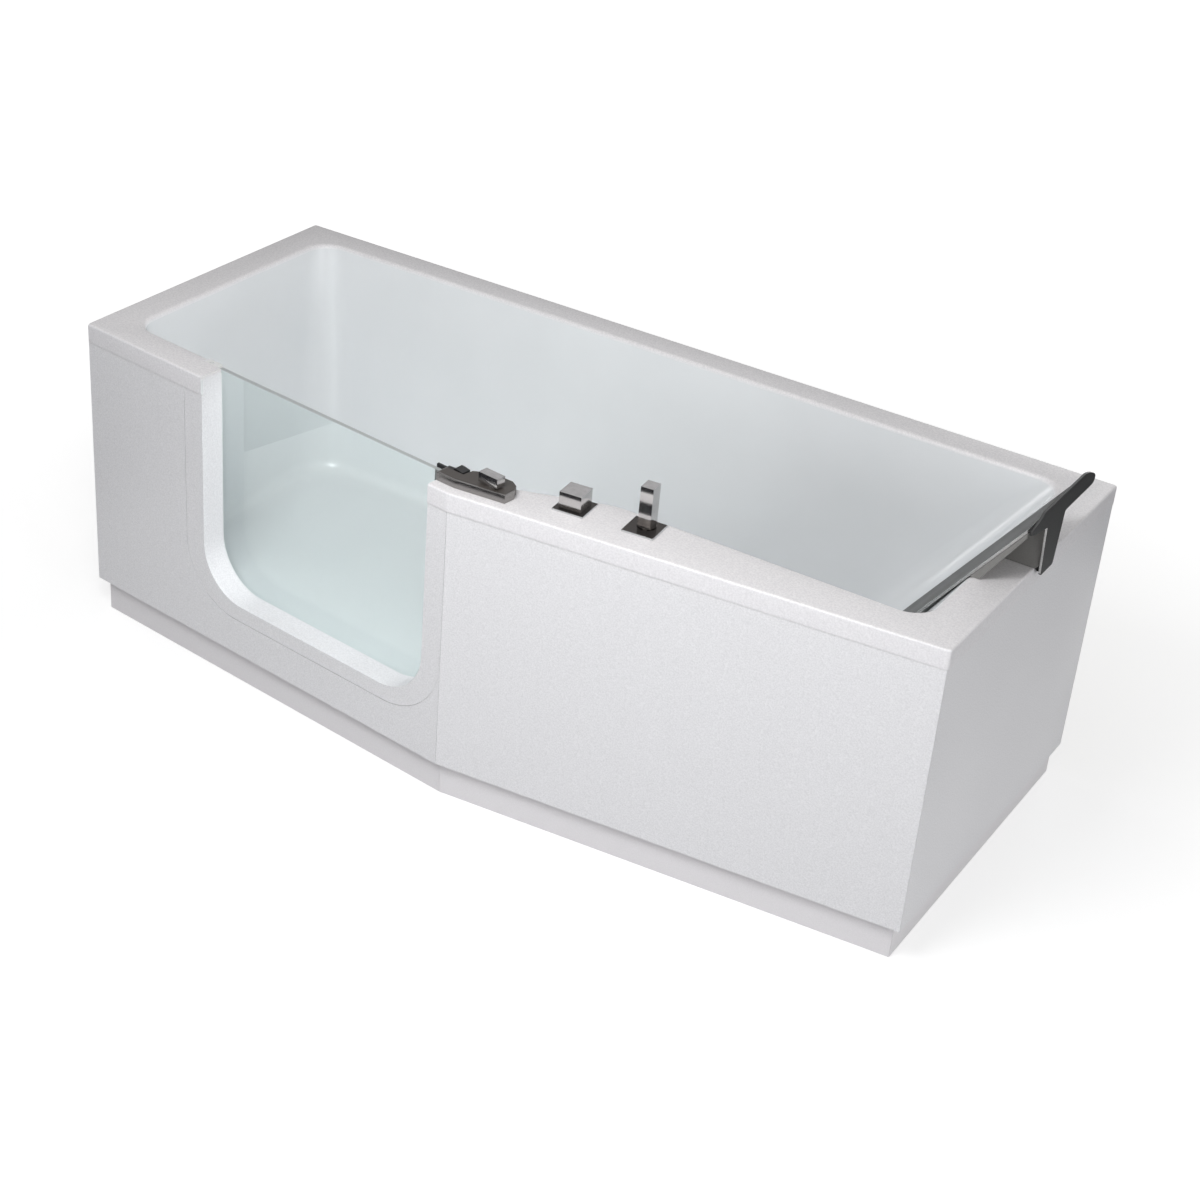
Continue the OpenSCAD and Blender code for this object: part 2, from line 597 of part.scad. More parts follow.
// ---- mixer on the deck ----
module at_deck(x, back = 0) in_front_frame() translate([x, deck_y + back, rim_h]) children();
module rosette(hole, back = 0) difference() {
    translate([-rosette_w / 2, -rosette_w / 2, gap]) cube([rosette_w, rosette_w, 3]);
    translate([0, back, 0]) cylinder(d = hole, h = 10);
}
module mixer_rosette() placed() color(dark) at_deck(mixer_x) rosette(24.6);
module mixer_knob() placed() color(steel) at_deck(mixer_x) difference() {
    translate([-knob_w / 2, -knob_w / 2, 4]) cube([knob_w, knob_w, knob_h]);
    translate([0, 0, 3]) cylinder(d = 27, h = 12);
    translate([0, 0, 3]) cylinder(d = 8.1, h = knob_h - 3);
}
module mixer_stem() placed() color("goldenrod") at_deck(mixer_x)
    translate([0, 0, -24]) cylinder(d = 8, h = 24 + knob_h - 2);
// threaded body through the deck hole, with two supply tails and one outlet below
module mixer_body() placed() color("goldenrod") at_deck(mixer_x) difference() {
    union() {
        translate([0, 0, -60]) cylinder(d = 24, h = 73);
        translate([0, 0, -95]) cylinder(d = 42, h = 40);
        for (x = [-11, 11]) translate([x, 0, -125]) cylinder(d = 15, h = 32);
        translate([0, 0, -75]) rotate([0, 90, 0]) cylinder(d = 20, h = 36);
    }
    translate([0, 0, -40]) cylinder(d = 16, h = 60);
    translate([0, 0, -15]) cylinder(d = 8.1, h = 40);
    for (x = [-11, 11]) translate([x, 0, -126]) cylinder(d = 11, h = 30);
    translate([8, 0, -75]) rotate([0, 90, 0]) cylinder(d = 15.2, h = 40);
}
module deck_nut(bore) translate([0, 0, -shell_t - 8.3]) difference() {
    cylinder(d = 44, h = 8, $fn = 6);
    translate([0, 0, -1]) cylinder(d = bore, h = 10);
}
module mixer_nut() placed() color("goldenrod") at_deck(mixer_x) deck_nut(24.1);

// pipe of diameter d along these points, every corner rounded to the bend radius
function rounded(p, r) = let (n = len(p)) concat(
    [p[0]],
    [for (i = [1:1:n - 2]) for (t = [0, 0.25, 0.5, 0.75, 1])
        let (a = p[i] + unit(p[i - 1] - p[i]) * r, b = p[i] + unit(p[i + 1] - p[i]) * r)
        a * (1 - t) * (1 - t) + p[i] * 2 * t * (1 - t) + b * t * t],
    [p[n - 1]]
);
// every ring is the last one, pushed along the segment into the next corner's mitre plane
function swept(p, i, last) =
    i >= len(p) ? [] :
    let (
        u = unit(p[i] - p[i - 1]),
        m = i == len(p) - 1 ? u : unit(u + unit(p[i + 1] - p[i])),
        next = [for (q = last) q + u * ((p[i] - q) * m) / (u * m)]
    ) concat([next], swept(p, i + 1, next));
module pipe(points, d, bend = 20, sides = 18) {
    p = rounded(points, bend);
    u = unit(p[1] - p[0]);
    e = unit(cross(u, abs(u[2]) > 0.9 ? [1, 0, 0] : [0, 0, 1]));
    f = cross(u, e);
    start = [for (j = [0:sides - 1]) let (w = -360 * j / sides) p[0] + (e * cos(w) + f * sin(w)) * d / 2];
    loft(concat([start], swept(p, 1, start)));
}
function front_pt(x, y, z) =
    [kink[0] + front_dir[0] * x + front_in[0] * y, kink[1] + front_dir[1] * x + front_in[1] * y, z];
function overflow_pt(x, y, z) = [overflow_x + x,
    overflow_y + y * sin(overflow_tilt) + z * cos(overflow_tilt),
    overflow_z - y * cos(overflow_tilt) + z * sin(overflow_tilt)];
module filler_pipe() placed() color("goldenrod")
    pipe([front_pt(mixer_x + 20, deck_y, rim_h - 75), front_pt(mixer_x + 60, deck_y, rim_h - 75),
        front_pt(shower_x + 4, deck_y + 30, rim_h - 98), overflow_pt(-52, 6, -32),
        overflow_pt(-20, 6, -32)], 15, 14);

// ---- hand shower, lifted out of its sleeve on its hose ----
module shower_rosette() placed() color(dark) at_deck(shower_x) rosette(26.6, shower_back);
module shower_sleeve() placed() color(steel) at_deck(shower_x, shower_back) difference() {
    union() {
        translate([0, 0, -70]) cylinder(d = 26, h = 70);
        translate([0, 0, 3.6]) cylinder(d = 32, h = 1.4);
        translate([0, 0, -1]) cylinder(d = 26, h = 5);
    }
    translate([0, 0, -71]) cylinder(d = shank_d + 0.1, h = 100);
}
module shower_nut() placed() color("goldenrod") at_deck(shower_x, shower_back) deck_nut(26.1);
module hand_shower() placed() color(steel) at_deck(shower_x, shower_back) difference() {
    union() {
        translate([-shower_w / 2, -shower_w / 2, 5.4]) cube([shower_w, shower_w + 4, shower_h]);
        translate([0, 0, -60]) cylinder(d = shank_d, h = 70);
    }
    translate([0, 0, -61]) cylinder(d = 9, h = 110);
    for (i = [-2:2]) for (k = [0:3])
        translate([i * 3.6, shower_w / 2 - 2, 36 + k * 9]) rotate([-90, 0, 0]) cylinder(d = 1.6, h = 10);
}
module shower_hose() placed() color(steel)
    pipe([front_pt(shower_x, deck_y + shower_back, rim_h - 60.5),
        front_pt(shower_x, deck_y + shower_back, rim_h - 330), front_pt(shower_x - 20, deck_y, rim_h - 420),
        front_pt(shower_x - 80, deck_y - 6, rim_h - 420), front_pt(mixer_x + 24, deck_y - 12, rim_h - 330),
        front_pt(mixer_x + 10, deck_y - 14, rim_h - 200), front_pt(mixer_x, deck_y - 14, rim_h - 150),
        front_pt(mixer_x, deck_y - 14, rim_h - 95.5)], 8.4);

// ---- waste: flange, pop-up plug, body with side inlet, and a low trap to the wall ----
module drain_flange() placed() color(steel) at_drain(floor_z) difference() {
    union() {
        translate([0, 0, gap]) cylinder(d = 72, h = 2);
        translate([0, 0, -20]) cylinder(d = 50, h = 21);
    }
    difference() {
        translate([0, 0, -21]) cylinder(d = 42, h = 30);
        translate([-22, -1.5, -18]) cube([44, 3, 6]);
        translate([0, 0, -18]) cylinder(d = 10, h = 6);
    }
    translate([0, 0, 0.8]) cylinder(d = 64, h = 5);
    translate([0, 0, -30]) cylinder(d = 6.1, h = 40);
}
module drain_body() placed() color(dark) at_drain(floor_z) difference() {
    union() {
        translate([0, 0, -shell_t - 3.3]) cylinder(d = 66, h = 3);
        translate([0, 0, -40]) cylinder(d = 56, h = 40 - shell_t - 3);
        translate([0, 0, -32]) rotate([0, 90, 0]) cylinder(d = 14, h = 44);
    }
    translate([0, 0, -20.3]) cylinder(d = 50.1, h = 30);
    translate([0, 0, -38]) cylinder(d = 42, h = 30);
    translate([0, 0, -41]) cylinder(d = 34.1, h = 30);
    translate([0, 0, -32]) rotate([0, 90, 0]) cylinder(d = 7, h = 60);
}
module drain_plug() placed() color(steel) at_drain(floor_z) {
    translate([0, 0, 3]) cylinder(d = 60, h = 3);
    translate([0, 0, 1.2]) cylinder(d = 36, h = 2.2);
    translate([0, 0, -30]) cylinder(d = 6, h = 32);
}
module plug_seal() placed() color(dark) at_drain(floor_z) difference() {
    translate([0, 0, 1.2]) cylinder(d = 54, h = 1.6);
    cylinder(d = 36.1, h = 5);
}
trap_r = 52;
trap_top = 78;
module trap() placed() color(acrylic) at_drain(0) difference() {
    union() {
        translate([0, 0, 14]) cylinder(r = trap_r, h = trap_top - 14);
        translate([0, 0, trap_top - 1]) cylinder(d = 34, h = 9);
        translate([0, 0, 40]) rotate([-90, 0, 0]) cylinder(d = waste_d, h = -drain_y);
        translate([0, 0, 40]) rotate([-90, 0, 0]) cylinder(d = waste_d + 5, h = -drain_y - 65);
        translate([0, 0, 52]) rotate([0, 90, -35]) cylinder(d = 38, h = 75);
    }
    translate([0, 0, 17]) cylinder(r = trap_r - 3, h = trap_top - 20);
    translate([0, 0, trap_top - 4]) cylinder(d = 28, h = 20);
    translate([0, trap_r - 8, 40]) rotate([-90, 0, 0]) cylinder(d = waste_d - 6, h = 400);
    translate([0, 0, 52]) rotate([0, 90, -35]) cylinder(d = 32.1, h = 80);
}

// ---- overflow with bath filler; its knob lifts the plug by a cable ----
module overflow_rosette() placed() color(steel) at_overflow() difference() {
    union() {
        translate([0, 0, gap]) cylinder(d = overflow_d, h = 9);
        translate([0, 0, -14]) cylinder(d = 46, h = 15);
    }
    translate([0, 0, -15]) cylinder(d = 36, h = 21);
    translate([0, 0, -15]) cylinder(d = 10.1, h = 40);
    for (a = [200:20:340]) rotate([0, 0, a]) translate([24, 0, 2]) cylinder(d = 4, h = 20);
}
module overflow_body() placed() color(dark) at_overflow() difference() {
    union() {
        translate([0, 0, -44]) cylinder(d = 60, h = 44 - shell_t - gap);
        translate([0, 0, -30]) rotate([0, 90, 90]) rotate([0, 0, 0]) cylinder(d = 38, h = 60);
        translate([-36, 6, -32]) rotate([0, 90, 0]) cylinder(d = 19, h = 40);
    }
    translate([0, 0, -40]) cylinder(d = 46.1, h = 60);
    translate([0, 0, -30]) rotate([0, 90, 90]) cylinder(d = 32.1, h = 70);
    translate([-40, 6, -32]) rotate([0, 90, 0]) cylinder(d = 15.1, h = 40);
    translate([0, 0, -50]) cylinder(d = 8, h = 30);
}
module overflow_knob() placed() color(steel) at_overflow() {
    translate([0, 0, 10]) cylinder(d = 44, h = 12);
    translate([-22, -4, 20]) cube([44, 8, 9]);
    translate([0, 0, -20]) cylinder(d = 10, h = 32);
    translate([0, -5, -23]) cube([14, 10, 4]);
}
module overflow_pipe() placed() color(acrylic)
    pipe([overflow_pt(0, 40, -30), overflow_pt(0, 90, -30), [overflow_x, overflow_y - 36, 110],
        [overflow_x - 30, overflow_y - 20, 52], [drain_x + 130, drain_y - 91, 52],
        [drain_x + 62, drain_y - 43.4, 52]], 32);
module plug_cable() placed() color(dark)
    pipe([overflow_pt(0, 0, -42), overflow_pt(0, 0, -66), [overflow_x + 34, overflow_y - 68, overflow_z - 70],
        [overflow_x + 34, overflow_y - 66, 120], [overflow_x, overflow_y + 50, 42],
        [drain_x + 170, drain_y - 20, 42], [drain_x + 100, drain_y, 88],
        [drain_x + 42, drain_y, 88]], 6);

// ---- back support: bent plate on two cheeks, hooked over the right end of the rim ----
back_y = -338;                 // its middle
back_x = bath_l - rim_right - 6;
hook_top = 119;                // hook plate above the rim
back_up = (hook_top - 3) / sin(back_slope);
hook_x = bath_l + hook_gap;
back_run = 1 / tan(back_slope);
module at_back() translate([back_x, back_y, rim_h]) rotate([0, -back_slope, 0]) children();
// sheet of width w round y = c, drawn by its x and z outline above the rim
module side_sheet(c, w, points) translate([back_x, back_y + c + w / 2, rim_h]) rotate([90, 0, 0])
    linear_extrude(w) polygon(points);
plate_x = back_t / sin(back_slope) + gap;
module before_hook() difference() {
    children();
    translate([hook_x - gap, back_y - back_w, rim_h - 50]) cube([200, 2 * back_w, 400]);
}
module back_plate() placed() color(dark) before_hook() at_back() hull() {
    translate([-back_down + 30, 0, -back_t]) for (y = [-1, 1])
        translate([0, y * (back_w / 2 - 30), 0]) cylinder(r = 30, h = back_t, $fn = 32);
    translate([back_up - 1, -back_w / 2, -back_t]) cube([1, back_w, back_t]);
}
cheek_h = 113;
web_run = 0.64;                // lean of the web, per unit of height
module back_cheeks() placed() color("gray") before_hook() for (s = [-1, 1])
    side_sheet(s * (back_w / 2 - 2), 4, [[plate_x + gap, gap], [plate_x + 16, gap],
        [plate_x + cheek_h * back_run + 6, cheek_h], [plate_x + cheek_h * back_run, cheek_h]]);
module back_web() placed() color("gray")
    side_sheet(0, back_w - 8.6, [[plate_x + 11.5, gap], [plate_x + 15, gap],
        [plate_x + 78 * web_run + 15, 78], [plate_x + 78 * web_run + 11.5, 78]]);
hook_points = [
    [-59, 119], [-76, 110], [-92, 107], [-105, 104], [-105, 97], [-92, 93], [-79, 91], [-62, 87],
    [-46, 84], [-36, 82], [-25, -4], [-22, -8], [22, -8], [25, -4], [36, 82], [44, 83], [138, 83], [150, 84], [156, 90],
    [155, 97], [148, 103], [134, 110], [118, 116], [104, 119]
];
module hook_plate() placed() color("#404040") translate([hook_x, back_y, rim_h])
    rotate([90, 0, 90]) linear_extrude(hook_t) polygon(hook_points);
module hook_gussets() placed() color("gray") for (s = [-1, 1])
    side_sheet(s * 22.5, 3, [[plate_x + 15.3, gap], [hook_x - back_x - 8, gap], [hook_x - back_x - 0.2, 8],
        [hook_x - back_x - 0.2, 83], [plate_x + 83 * web_run + 15.3, 83]]);
module rim_pad() placed() color(dark)
    translate([bath_l + 0.2, back_y - 14, rim_h - 8]) cube([hook_gap - 0.4, 28, 16]);

tub_shell();
door_surround();
panel_door_side();
panel_front();
panel_right_end();
panel_left_end();
plinth_door_side();
plinth_front();
plinth_right();
plinth_left();
base_frame();
floor_board();
rim_posts();
foot_screws();
foot_nuts();
foot_pads();
door_glass();
door_seal();
hinge_post();
hinge_bushes();
hinge_pins();
hinge_block_top();
hinge_block_bottom();
latch_keeper();
keeper_box();
keeper_screws();
lock_base();
lock_cover();
lock_fascia();
lock_knob();
lock_spindle();
latch_bolt();
mixer_rosette();
mixer_knob();
mixer_stem();
mixer_body();
mixer_nut();
filler_pipe();
shower_rosette();
shower_sleeve();
shower_nut();
hand_shower();
shower_hose();
drain_flange();
drain_body();
drain_plug();
plug_seal();
trap();
overflow_rosette();
overflow_body();
overflow_knob();
overflow_pipe();
plug_cable();
back_plate();
back_cheeks();
back_web();
hook_plate();
hook_gussets();
rim_pad();
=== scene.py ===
"""Looks of the walk-in bath: finishes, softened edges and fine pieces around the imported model.

Lengths are in metres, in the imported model's own frame: +X towards the end with the back support,
+Y towards the wall, +Z up, the floor at z = 0.
"""

import math

import bpy
from mathutils import Matrix, Vector


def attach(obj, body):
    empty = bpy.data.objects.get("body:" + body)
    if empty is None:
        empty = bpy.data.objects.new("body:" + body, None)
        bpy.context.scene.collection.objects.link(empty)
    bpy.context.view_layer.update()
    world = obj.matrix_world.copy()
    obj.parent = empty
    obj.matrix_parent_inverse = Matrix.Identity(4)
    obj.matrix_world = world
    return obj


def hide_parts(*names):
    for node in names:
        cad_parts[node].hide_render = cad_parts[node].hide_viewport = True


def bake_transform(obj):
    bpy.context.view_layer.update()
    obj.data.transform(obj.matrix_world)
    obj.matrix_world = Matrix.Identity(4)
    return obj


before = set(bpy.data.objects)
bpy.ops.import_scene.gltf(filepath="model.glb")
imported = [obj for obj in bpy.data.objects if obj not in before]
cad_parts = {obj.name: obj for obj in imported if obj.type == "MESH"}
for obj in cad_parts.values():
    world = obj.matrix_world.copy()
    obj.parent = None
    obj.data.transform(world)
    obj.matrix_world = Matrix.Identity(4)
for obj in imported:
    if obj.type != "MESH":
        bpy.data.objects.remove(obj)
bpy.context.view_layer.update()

MM = 0.001
LENGTH = 1.700
LEFT_DEPTH, KINK_DEPTH, RIGHT_DEPTH = 0.648, 0.750, 0.670  # at the left end, the kink, the right
KINK_X = 0.860  # the front's kink, from the left end
RIM = 0.590  # top of the bath's rim
WELL_FLOOR = 0.120
WALL_DRAFT = 0.022  # how far the well's walls lean in from rim to floor
SHIFT = Vector((-0.856, 0.375, 0.0))  # from the bath's left wall corner to the model's origin

# The door side and the front run at their own angles; each has a frame with x along it, y inwards.
DOOR = Matrix.Translation(SHIFT + Vector((0.0, -LEFT_DEPTH, 0.0))) @ Matrix.Rotation(
    math.atan2(LEFT_DEPTH - KINK_DEPTH, KINK_X), 4, "Z"
)
FRONT = Matrix.Translation(SHIFT + Vector((KINK_X, -KINK_DEPTH, 0.0))) @ Matrix.Rotation(
    math.atan2(KINK_DEPTH - RIGHT_DEPTH, LENGTH - KINK_X), 4, "Z"
)
SHOWER = FRONT @ Matrix.Translation((0.312, 0.081, RIM))
DRAIN = Matrix.Translation(SHIFT + Vector((0.820, -0.328, WELL_FLOOR)))
# the overflow sits square to the well's leaning front wall
OVERFLOW = Matrix.Translation(SHIFT + Vector((1.250, -0.602553, 0.495))) @ Matrix.Rotation(
    -math.pi / 2 + math.atan(WALL_DRAFT / (RIM - WELL_FLOOR)), 4, "X"
)


# ---- camera ----

AZIMUTH, ELEVATION, ROLL = (math.radians(a) for a in (29.705, 30.638, 5.033))
back = Vector(
    (
        math.sin(AZIMUTH) * math.cos(ELEVATION),
        -math.cos(AZIMUTH) * math.cos(ELEVATION),
        math.sin(ELEVATION),
    )
)
level = Vector((math.cos(AZIMUTH), math.sin(AZIMUTH), 0.0))
upward = back.cross(level)
right = level * math.cos(ROLL) + upward * math.sin(ROLL)
top = upward * math.cos(ROLL) - level * math.sin(ROLL)
camera_data = bpy.data.cameras.new("camera")
camera_data.sensor_width = 36.0
camera_data.lens = 67.4
camera = bpy.data.objects.new("camera", camera_data)
bpy.context.scene.collection.objects.link(camera)
camera.matrix_world = (
    Matrix.Translation((1.7772, -2.9675, 2.2728))
    @ Matrix((right, top, back)).transposed().to_4x4()
)
bpy.context.scene.camera = camera


# ---- colours and nodes ----


def linear(hex_colour):
    """An sRGB hex colour as linear red, green, blue and alpha."""
    parts = [int(hex_colour[i : i + 2], 16) / 255 for i in (1, 3, 5)]
    return [p / 12.92 if p <= 0.04045 else ((p + 0.055) / 1.055) ** 2.4 for p in parts] + [1.0]


def add_node(tree, kind, settings=None, inputs=None, links=None):
    """A node with its settings, its socket values and its incoming links."""
    made = tree.nodes.new(kind)
    for name, value in (settings or {}).items():
        setattr(made, name, value)
    for name, value in (inputs or {}).items():
        made.inputs[name].default_value = value
    for name, source in (links or {}).items():
        tree.links.new(source, made.inputs[name])
    return made


def empty_material(name):
    """A node material with nothing in its tree yet."""
    material = bpy.data.materials.new(name)
    material.use_nodes = True
    material.node_tree.nodes.clear()
    return material, material.node_tree


def vacuum_formed_acrylic():
    """Cast acrylic sheet drawn over a mould. The well keeps the sheet's own deep gloss and a cool
    milky white; the flat deck round it carries the mould's fine grain, so it looks duller."""
    material, tree = empty_material("vacuum_formed_acrylic")
    place = add_node(tree, "ShaderNodeTexCoord")
    axes = add_node(tree, "ShaderNodeSeparateXYZ", links={"Vector": place.outputs["Object"]})
    deck = add_node(
        tree,
        "ShaderNodeMapRange",
        inputs={"From Min": RIM - 0.010, "From Max": RIM - 0.003},
        links={"Value": axes.outputs["Z"]},
    )
    # sheet thickness drifts over about 150 mm where the acrylic was stretched
    drift = add_node(
        tree,
        "ShaderNodeTexNoise",
        inputs={"Scale": 6.5, "Detail": 2.0},
        links={"Vector": place.outputs["Object"]},
    )
    # the mould's grit is about 0.5 mm; it is drawn at 3 mm so that it shows at this distance
    grit = add_node(
        tree,
        "ShaderNodeTexNoise",
        inputs={"Scale": 330.0, "Detail": 5.0, "Roughness": 0.7},
        links={"Vector": place.outputs["Object"]},
    )
    speckle = add_node(
        tree,
        "ShaderNodeMapRange",
        inputs={"From Min": 0.36, "From Max": 0.64},
        links={"Value": grit.outputs["Fac"]},
    )
    well = add_node(
        tree,
        "ShaderNodeMix",
        settings={"data_type": "RGBA"},
        inputs={6: linear("#DADDDF"), 7: linear("#E2E4E6")},
        links={0: drift.outputs["Fac"]},
    )
    flat = add_node(
        tree,
        "ShaderNodeMix",
        settings={"data_type": "RGBA"},
        inputs={6: linear("#D6D4D6"), 7: linear("#E9E7E8")},
        links={0: speckle.outputs["Result"]},
    )
    colour = add_node(
        tree,
        "ShaderNodeMix",
        settings={"data_type": "RGBA"},
        links={0: deck.outputs["Result"], 6: well.outputs[2], 7: flat.outputs[2]},
    )
    polish = add_node(
        tree,
        "ShaderNodeMapRange",
        inputs={"From Min": 0.3, "From Max": 0.7, "To Min": 0.14, "To Max": 0.22},
        links={"Value": drift.outputs["Fac"]},
    )
    dull = add_node(
        tree,
        "ShaderNodeMix",
        inputs={3: 0.46},
        links={0: deck.outputs["Result"], 2: polish.outputs["Result"]},
    )
    relief = add_node(
        tree,
        "ShaderNodeMath",
        settings={"operation": "MULTIPLY"},
        links={0: grit.outputs["Fac"], 1: deck.outputs["Result"]},
    )
    bump = add_node(
        tree,
        "ShaderNodeBump",
        inputs={"Strength": 0.5, "Distance": 0.0006},
        links={"Height": relief.outputs["Value"]},
    )
    shader = add_node(
        tree,
        "ShaderNodeBsdfPrincipled",
        inputs={"IOR": 1.49},
        links={
            "Base Color": colour.outputs[2],
            "Roughness": dull.outputs[0],
            "Normal": bump.outputs["Normal"],
        },
    )
    add_node(tree, "ShaderNodeOutputMaterial", links={"Surface": shader.outputs["BSDF"]})
    return material


def grained(name, dark, light, rough, scale, relief, depth, ior=1.5):
    """A dense skin whose colour, sheen and height all follow one grain; scale is grains a metre,
    relief the strength of the bump and depth its height in metres."""
    material, tree = empty_material(name)
    place = add_node(tree, "ShaderNodeTexCoord")
    grain = add_node(
        tree,
        "ShaderNodeTexNoise",
        inputs={"Scale": scale, "Detail": 4.0, "Roughness": 0.65},
        links={"Vector": place.outputs["Object"]},
    )
    patch = add_node(
        tree,
        "ShaderNodeTexNoise",
        inputs={"Scale": 5.0, "Detail": 2.0},
        links={"Vector": place.outputs["Object"]},
    )
    both = add_node(
        tree,
        "ShaderNodeMath",
        settings={"operation": "MULTIPLY_ADD"},
        inputs={1: 1.5, 2: -0.25},
        links={0: grain.outputs["Fac"]},
    )
    colour = add_node(
        tree,
        "ShaderNodeMix",
        settings={"data_type": "RGBA"},
        inputs={6: linear(dark), 7: linear(light)},
        links={0: both.outputs["Value"]},
    )
    sheen = add_node(
        tree,
        "ShaderNodeMapRange",
        inputs={"From Min": 0.3, "From Max": 0.7, "To Min": rough - 0.05, "To Max": rough + 0.05},
        links={"Value": patch.outputs["Fac"]},
    )
    bump = add_node(
        tree,
        "ShaderNodeBump",
        inputs={"Strength": relief, "Distance": depth},
        links={"Height": grain.outputs["Fac"]},
    )
    shader = add_node(
        tree,
        "ShaderNodeBsdfPrincipled",
        inputs={"IOR": ior},
        links={
            "Base Color": colour.outputs[2],
            "Roughness": sheen.outputs["Result"],
            "Normal": bump.outputs["Normal"],
        },
    )
    add_node(tree, "ShaderNodeOutputMaterial", links={"Surface": shader.outputs["BSDF"]})
    return material


def plated(name, dark, light, rough, wave=0.0, pitch=0.05):
    """Bright metal with faint lines from polishing. wave is how far, in metres, a thin pressing
    swells and dips along its height, every pitch metres; it sweeps the reflections into bands."""
    material, tree = empty_material(name)
    place = add_node(tree, "ShaderNodeTexCoord")
    along = add_node(
        tree,
        "ShaderNodeMapping",
        inputs={"Scale": (90.0, 90.0, 1400.0)},
        links={"Vector": place.outputs["Object"]},
    )
    lines = add_node(
        tree,
        "ShaderNodeTexNoise",
        inputs={"Scale": 1.0, "Detail": 3.0},
        links={"Vector": along.outputs["Vector"]},
    )
    colour = add_node(
        tree,
        "ShaderNodeMix",
        settings={"data_type": "RGBA"},
        inputs={6: linear(dark), 7: linear(light)},
        links={0: lines.outputs["Fac"]},
    )
    gloss = add_node(
        tree,
        "ShaderNodeMapRange",
        inputs={"From Min": 0.3, "From Max": 0.7, "To Min": rough * 0.75, "To Max": rough * 1.25},
        links={"Value": lines.outputs["Fac"]},
    )
    swell = add_node(
        tree,
        "ShaderNodeTexWave",
        settings={"bands_direction": "Z"},
        inputs={"Scale": 0.314 / pitch, "Distortion": 0.0, "Phase Offset": -0.7},
        links={"Vector": place.outputs["Object"]},
    )
    broad = add_node(
        tree,
        "ShaderNodeBump",
        inputs={"Strength": 1.0 if wave else 0.0, "Distance": max(wave, 1e-5)},
        links={"Height": swell.outputs["Fac"]},
    )
    fine = add_node(
        tree,
        "ShaderNodeBump",
        inputs={"Strength": 0.05, "Distance": 0.0001},
        links={"Height": lines.outputs["Fac"], "Normal": broad.outputs["Normal"]},
    )
    shader = add_node(
        tree,
        "ShaderNodeBsdfPrincipled",
        inputs={"Metallic": 1.0},
        links={
            "Base Color": colour.outputs[2],
            "Roughness": gloss.outputs["Result"],
            "Normal": fine.outputs["Normal"],
        },
    )
    add_node(tree, "ShaderNodeOutputMaterial", links={"Surface": shader.outputs["BSDF"]})
    return material


def toughened_glass():
    """Clear float glass, toughened: almost colourless seen through, with the slow waviness that
    the rollers leave. Lamps reach what is behind it."""
    material, tree = empty_material("toughened_glass")
    place = add_node(tree, "ShaderNodeTexCoord")
    waves = add_node(
        tree,
        "ShaderNodeTexNoise",
        inputs={"Scale": 6.0, "Detail": 1.0},
        links={"Vector": place.outputs["Object"]},
    )
    smear = add_node(
        tree,
        "ShaderNodeMapRange",
        inputs={"From Min": 0.3, "From Max": 0.7, "To Min": 0.005, "To Max": 0.02},
        links={"Value": waves.outputs["Fac"]},
    )
    bump = add_node(
        tree,
        "ShaderNodeBump",
        inputs={"Strength": 0.02, "Distance": 0.0005},
        links={"Height": waves.outputs["Fac"]},
    )
    shader = add_node(
        tree,
        "ShaderNodeBsdfPrincipled",
        inputs={
            "Base Color": linear("#F3FAF9"),
            "IOR": 1.5,
            "Transmission Weight": 1.0,
        },
        links={"Roughness": smear.outputs["Result"], "Normal": bump.outputs["Normal"]},
    )
    rays = add_node(tree, "ShaderNodeLightPath")
    clear = add_node(tree, "ShaderNodeBsdfTransparent", inputs={"Color": linear("#F5F8F8")})
    seen = add_node(
        tree,
        "ShaderNodeMixShader",
        links={
            0: rays.outputs["Is Shadow Ray"],
            1: shader.outputs["BSDF"],
            2: clear.outputs["BSDF"],
        },
    )
    add_node(tree, "ShaderNodeOutputMaterial", links={"Surface": seen.outputs["Shader"]})
    return material


def threaded_zinc():
    """Zinc-plated studding: the dull silver of barrel plating, cut by a thread of 1.75 mm."""
    material, tree = empty_material("threaded_zinc")
    place = add_node(tree, "ShaderNodeTexCoord")
    cloud = add_node(
        tree,
        "ShaderNodeTexNoise",
        inputs={"Scale": 160.0, "Detail": 3.0},
        links={"Vector": place.outputs["Object"]},
    )
    colour = add_node(
        tree,
        "ShaderNodeMix",
        settings={"data_type": "RGBA"},
        inputs={6: linear("#9A9FA2"), 7: linear("#BFC3C4")},
        links={0: cloud.outputs["Fac"]},
    )
    thread = add_node(
        tree,
        "ShaderNodeTexWave",
        settings={"bands_direction": "Z", "wave_profile": "TRI"},
        inputs={"Scale": 0.314 / 0.00175},
        links={"Vector": place.outputs["Object"]},
    )
    bump = add_node(
        tree,
        "ShaderNodeBump",
        inputs={"Strength": 0.9, "Distance": 0.0009},
        links={"Height": thread.outputs["Fac"]},
    )
    shader = add_node(
        tree,
        "ShaderNodeBsdfPrincipled",
        inputs={"Metallic": 1.0, "Roughness": 0.38},
        links={"Base Color": colour.outputs[2], "Normal": bump.outputs["Normal"]},
    )
    add_node(tree, "ShaderNodeOutputMaterial", links={"Surface": shader.outputs["BSDF"]})
    return material


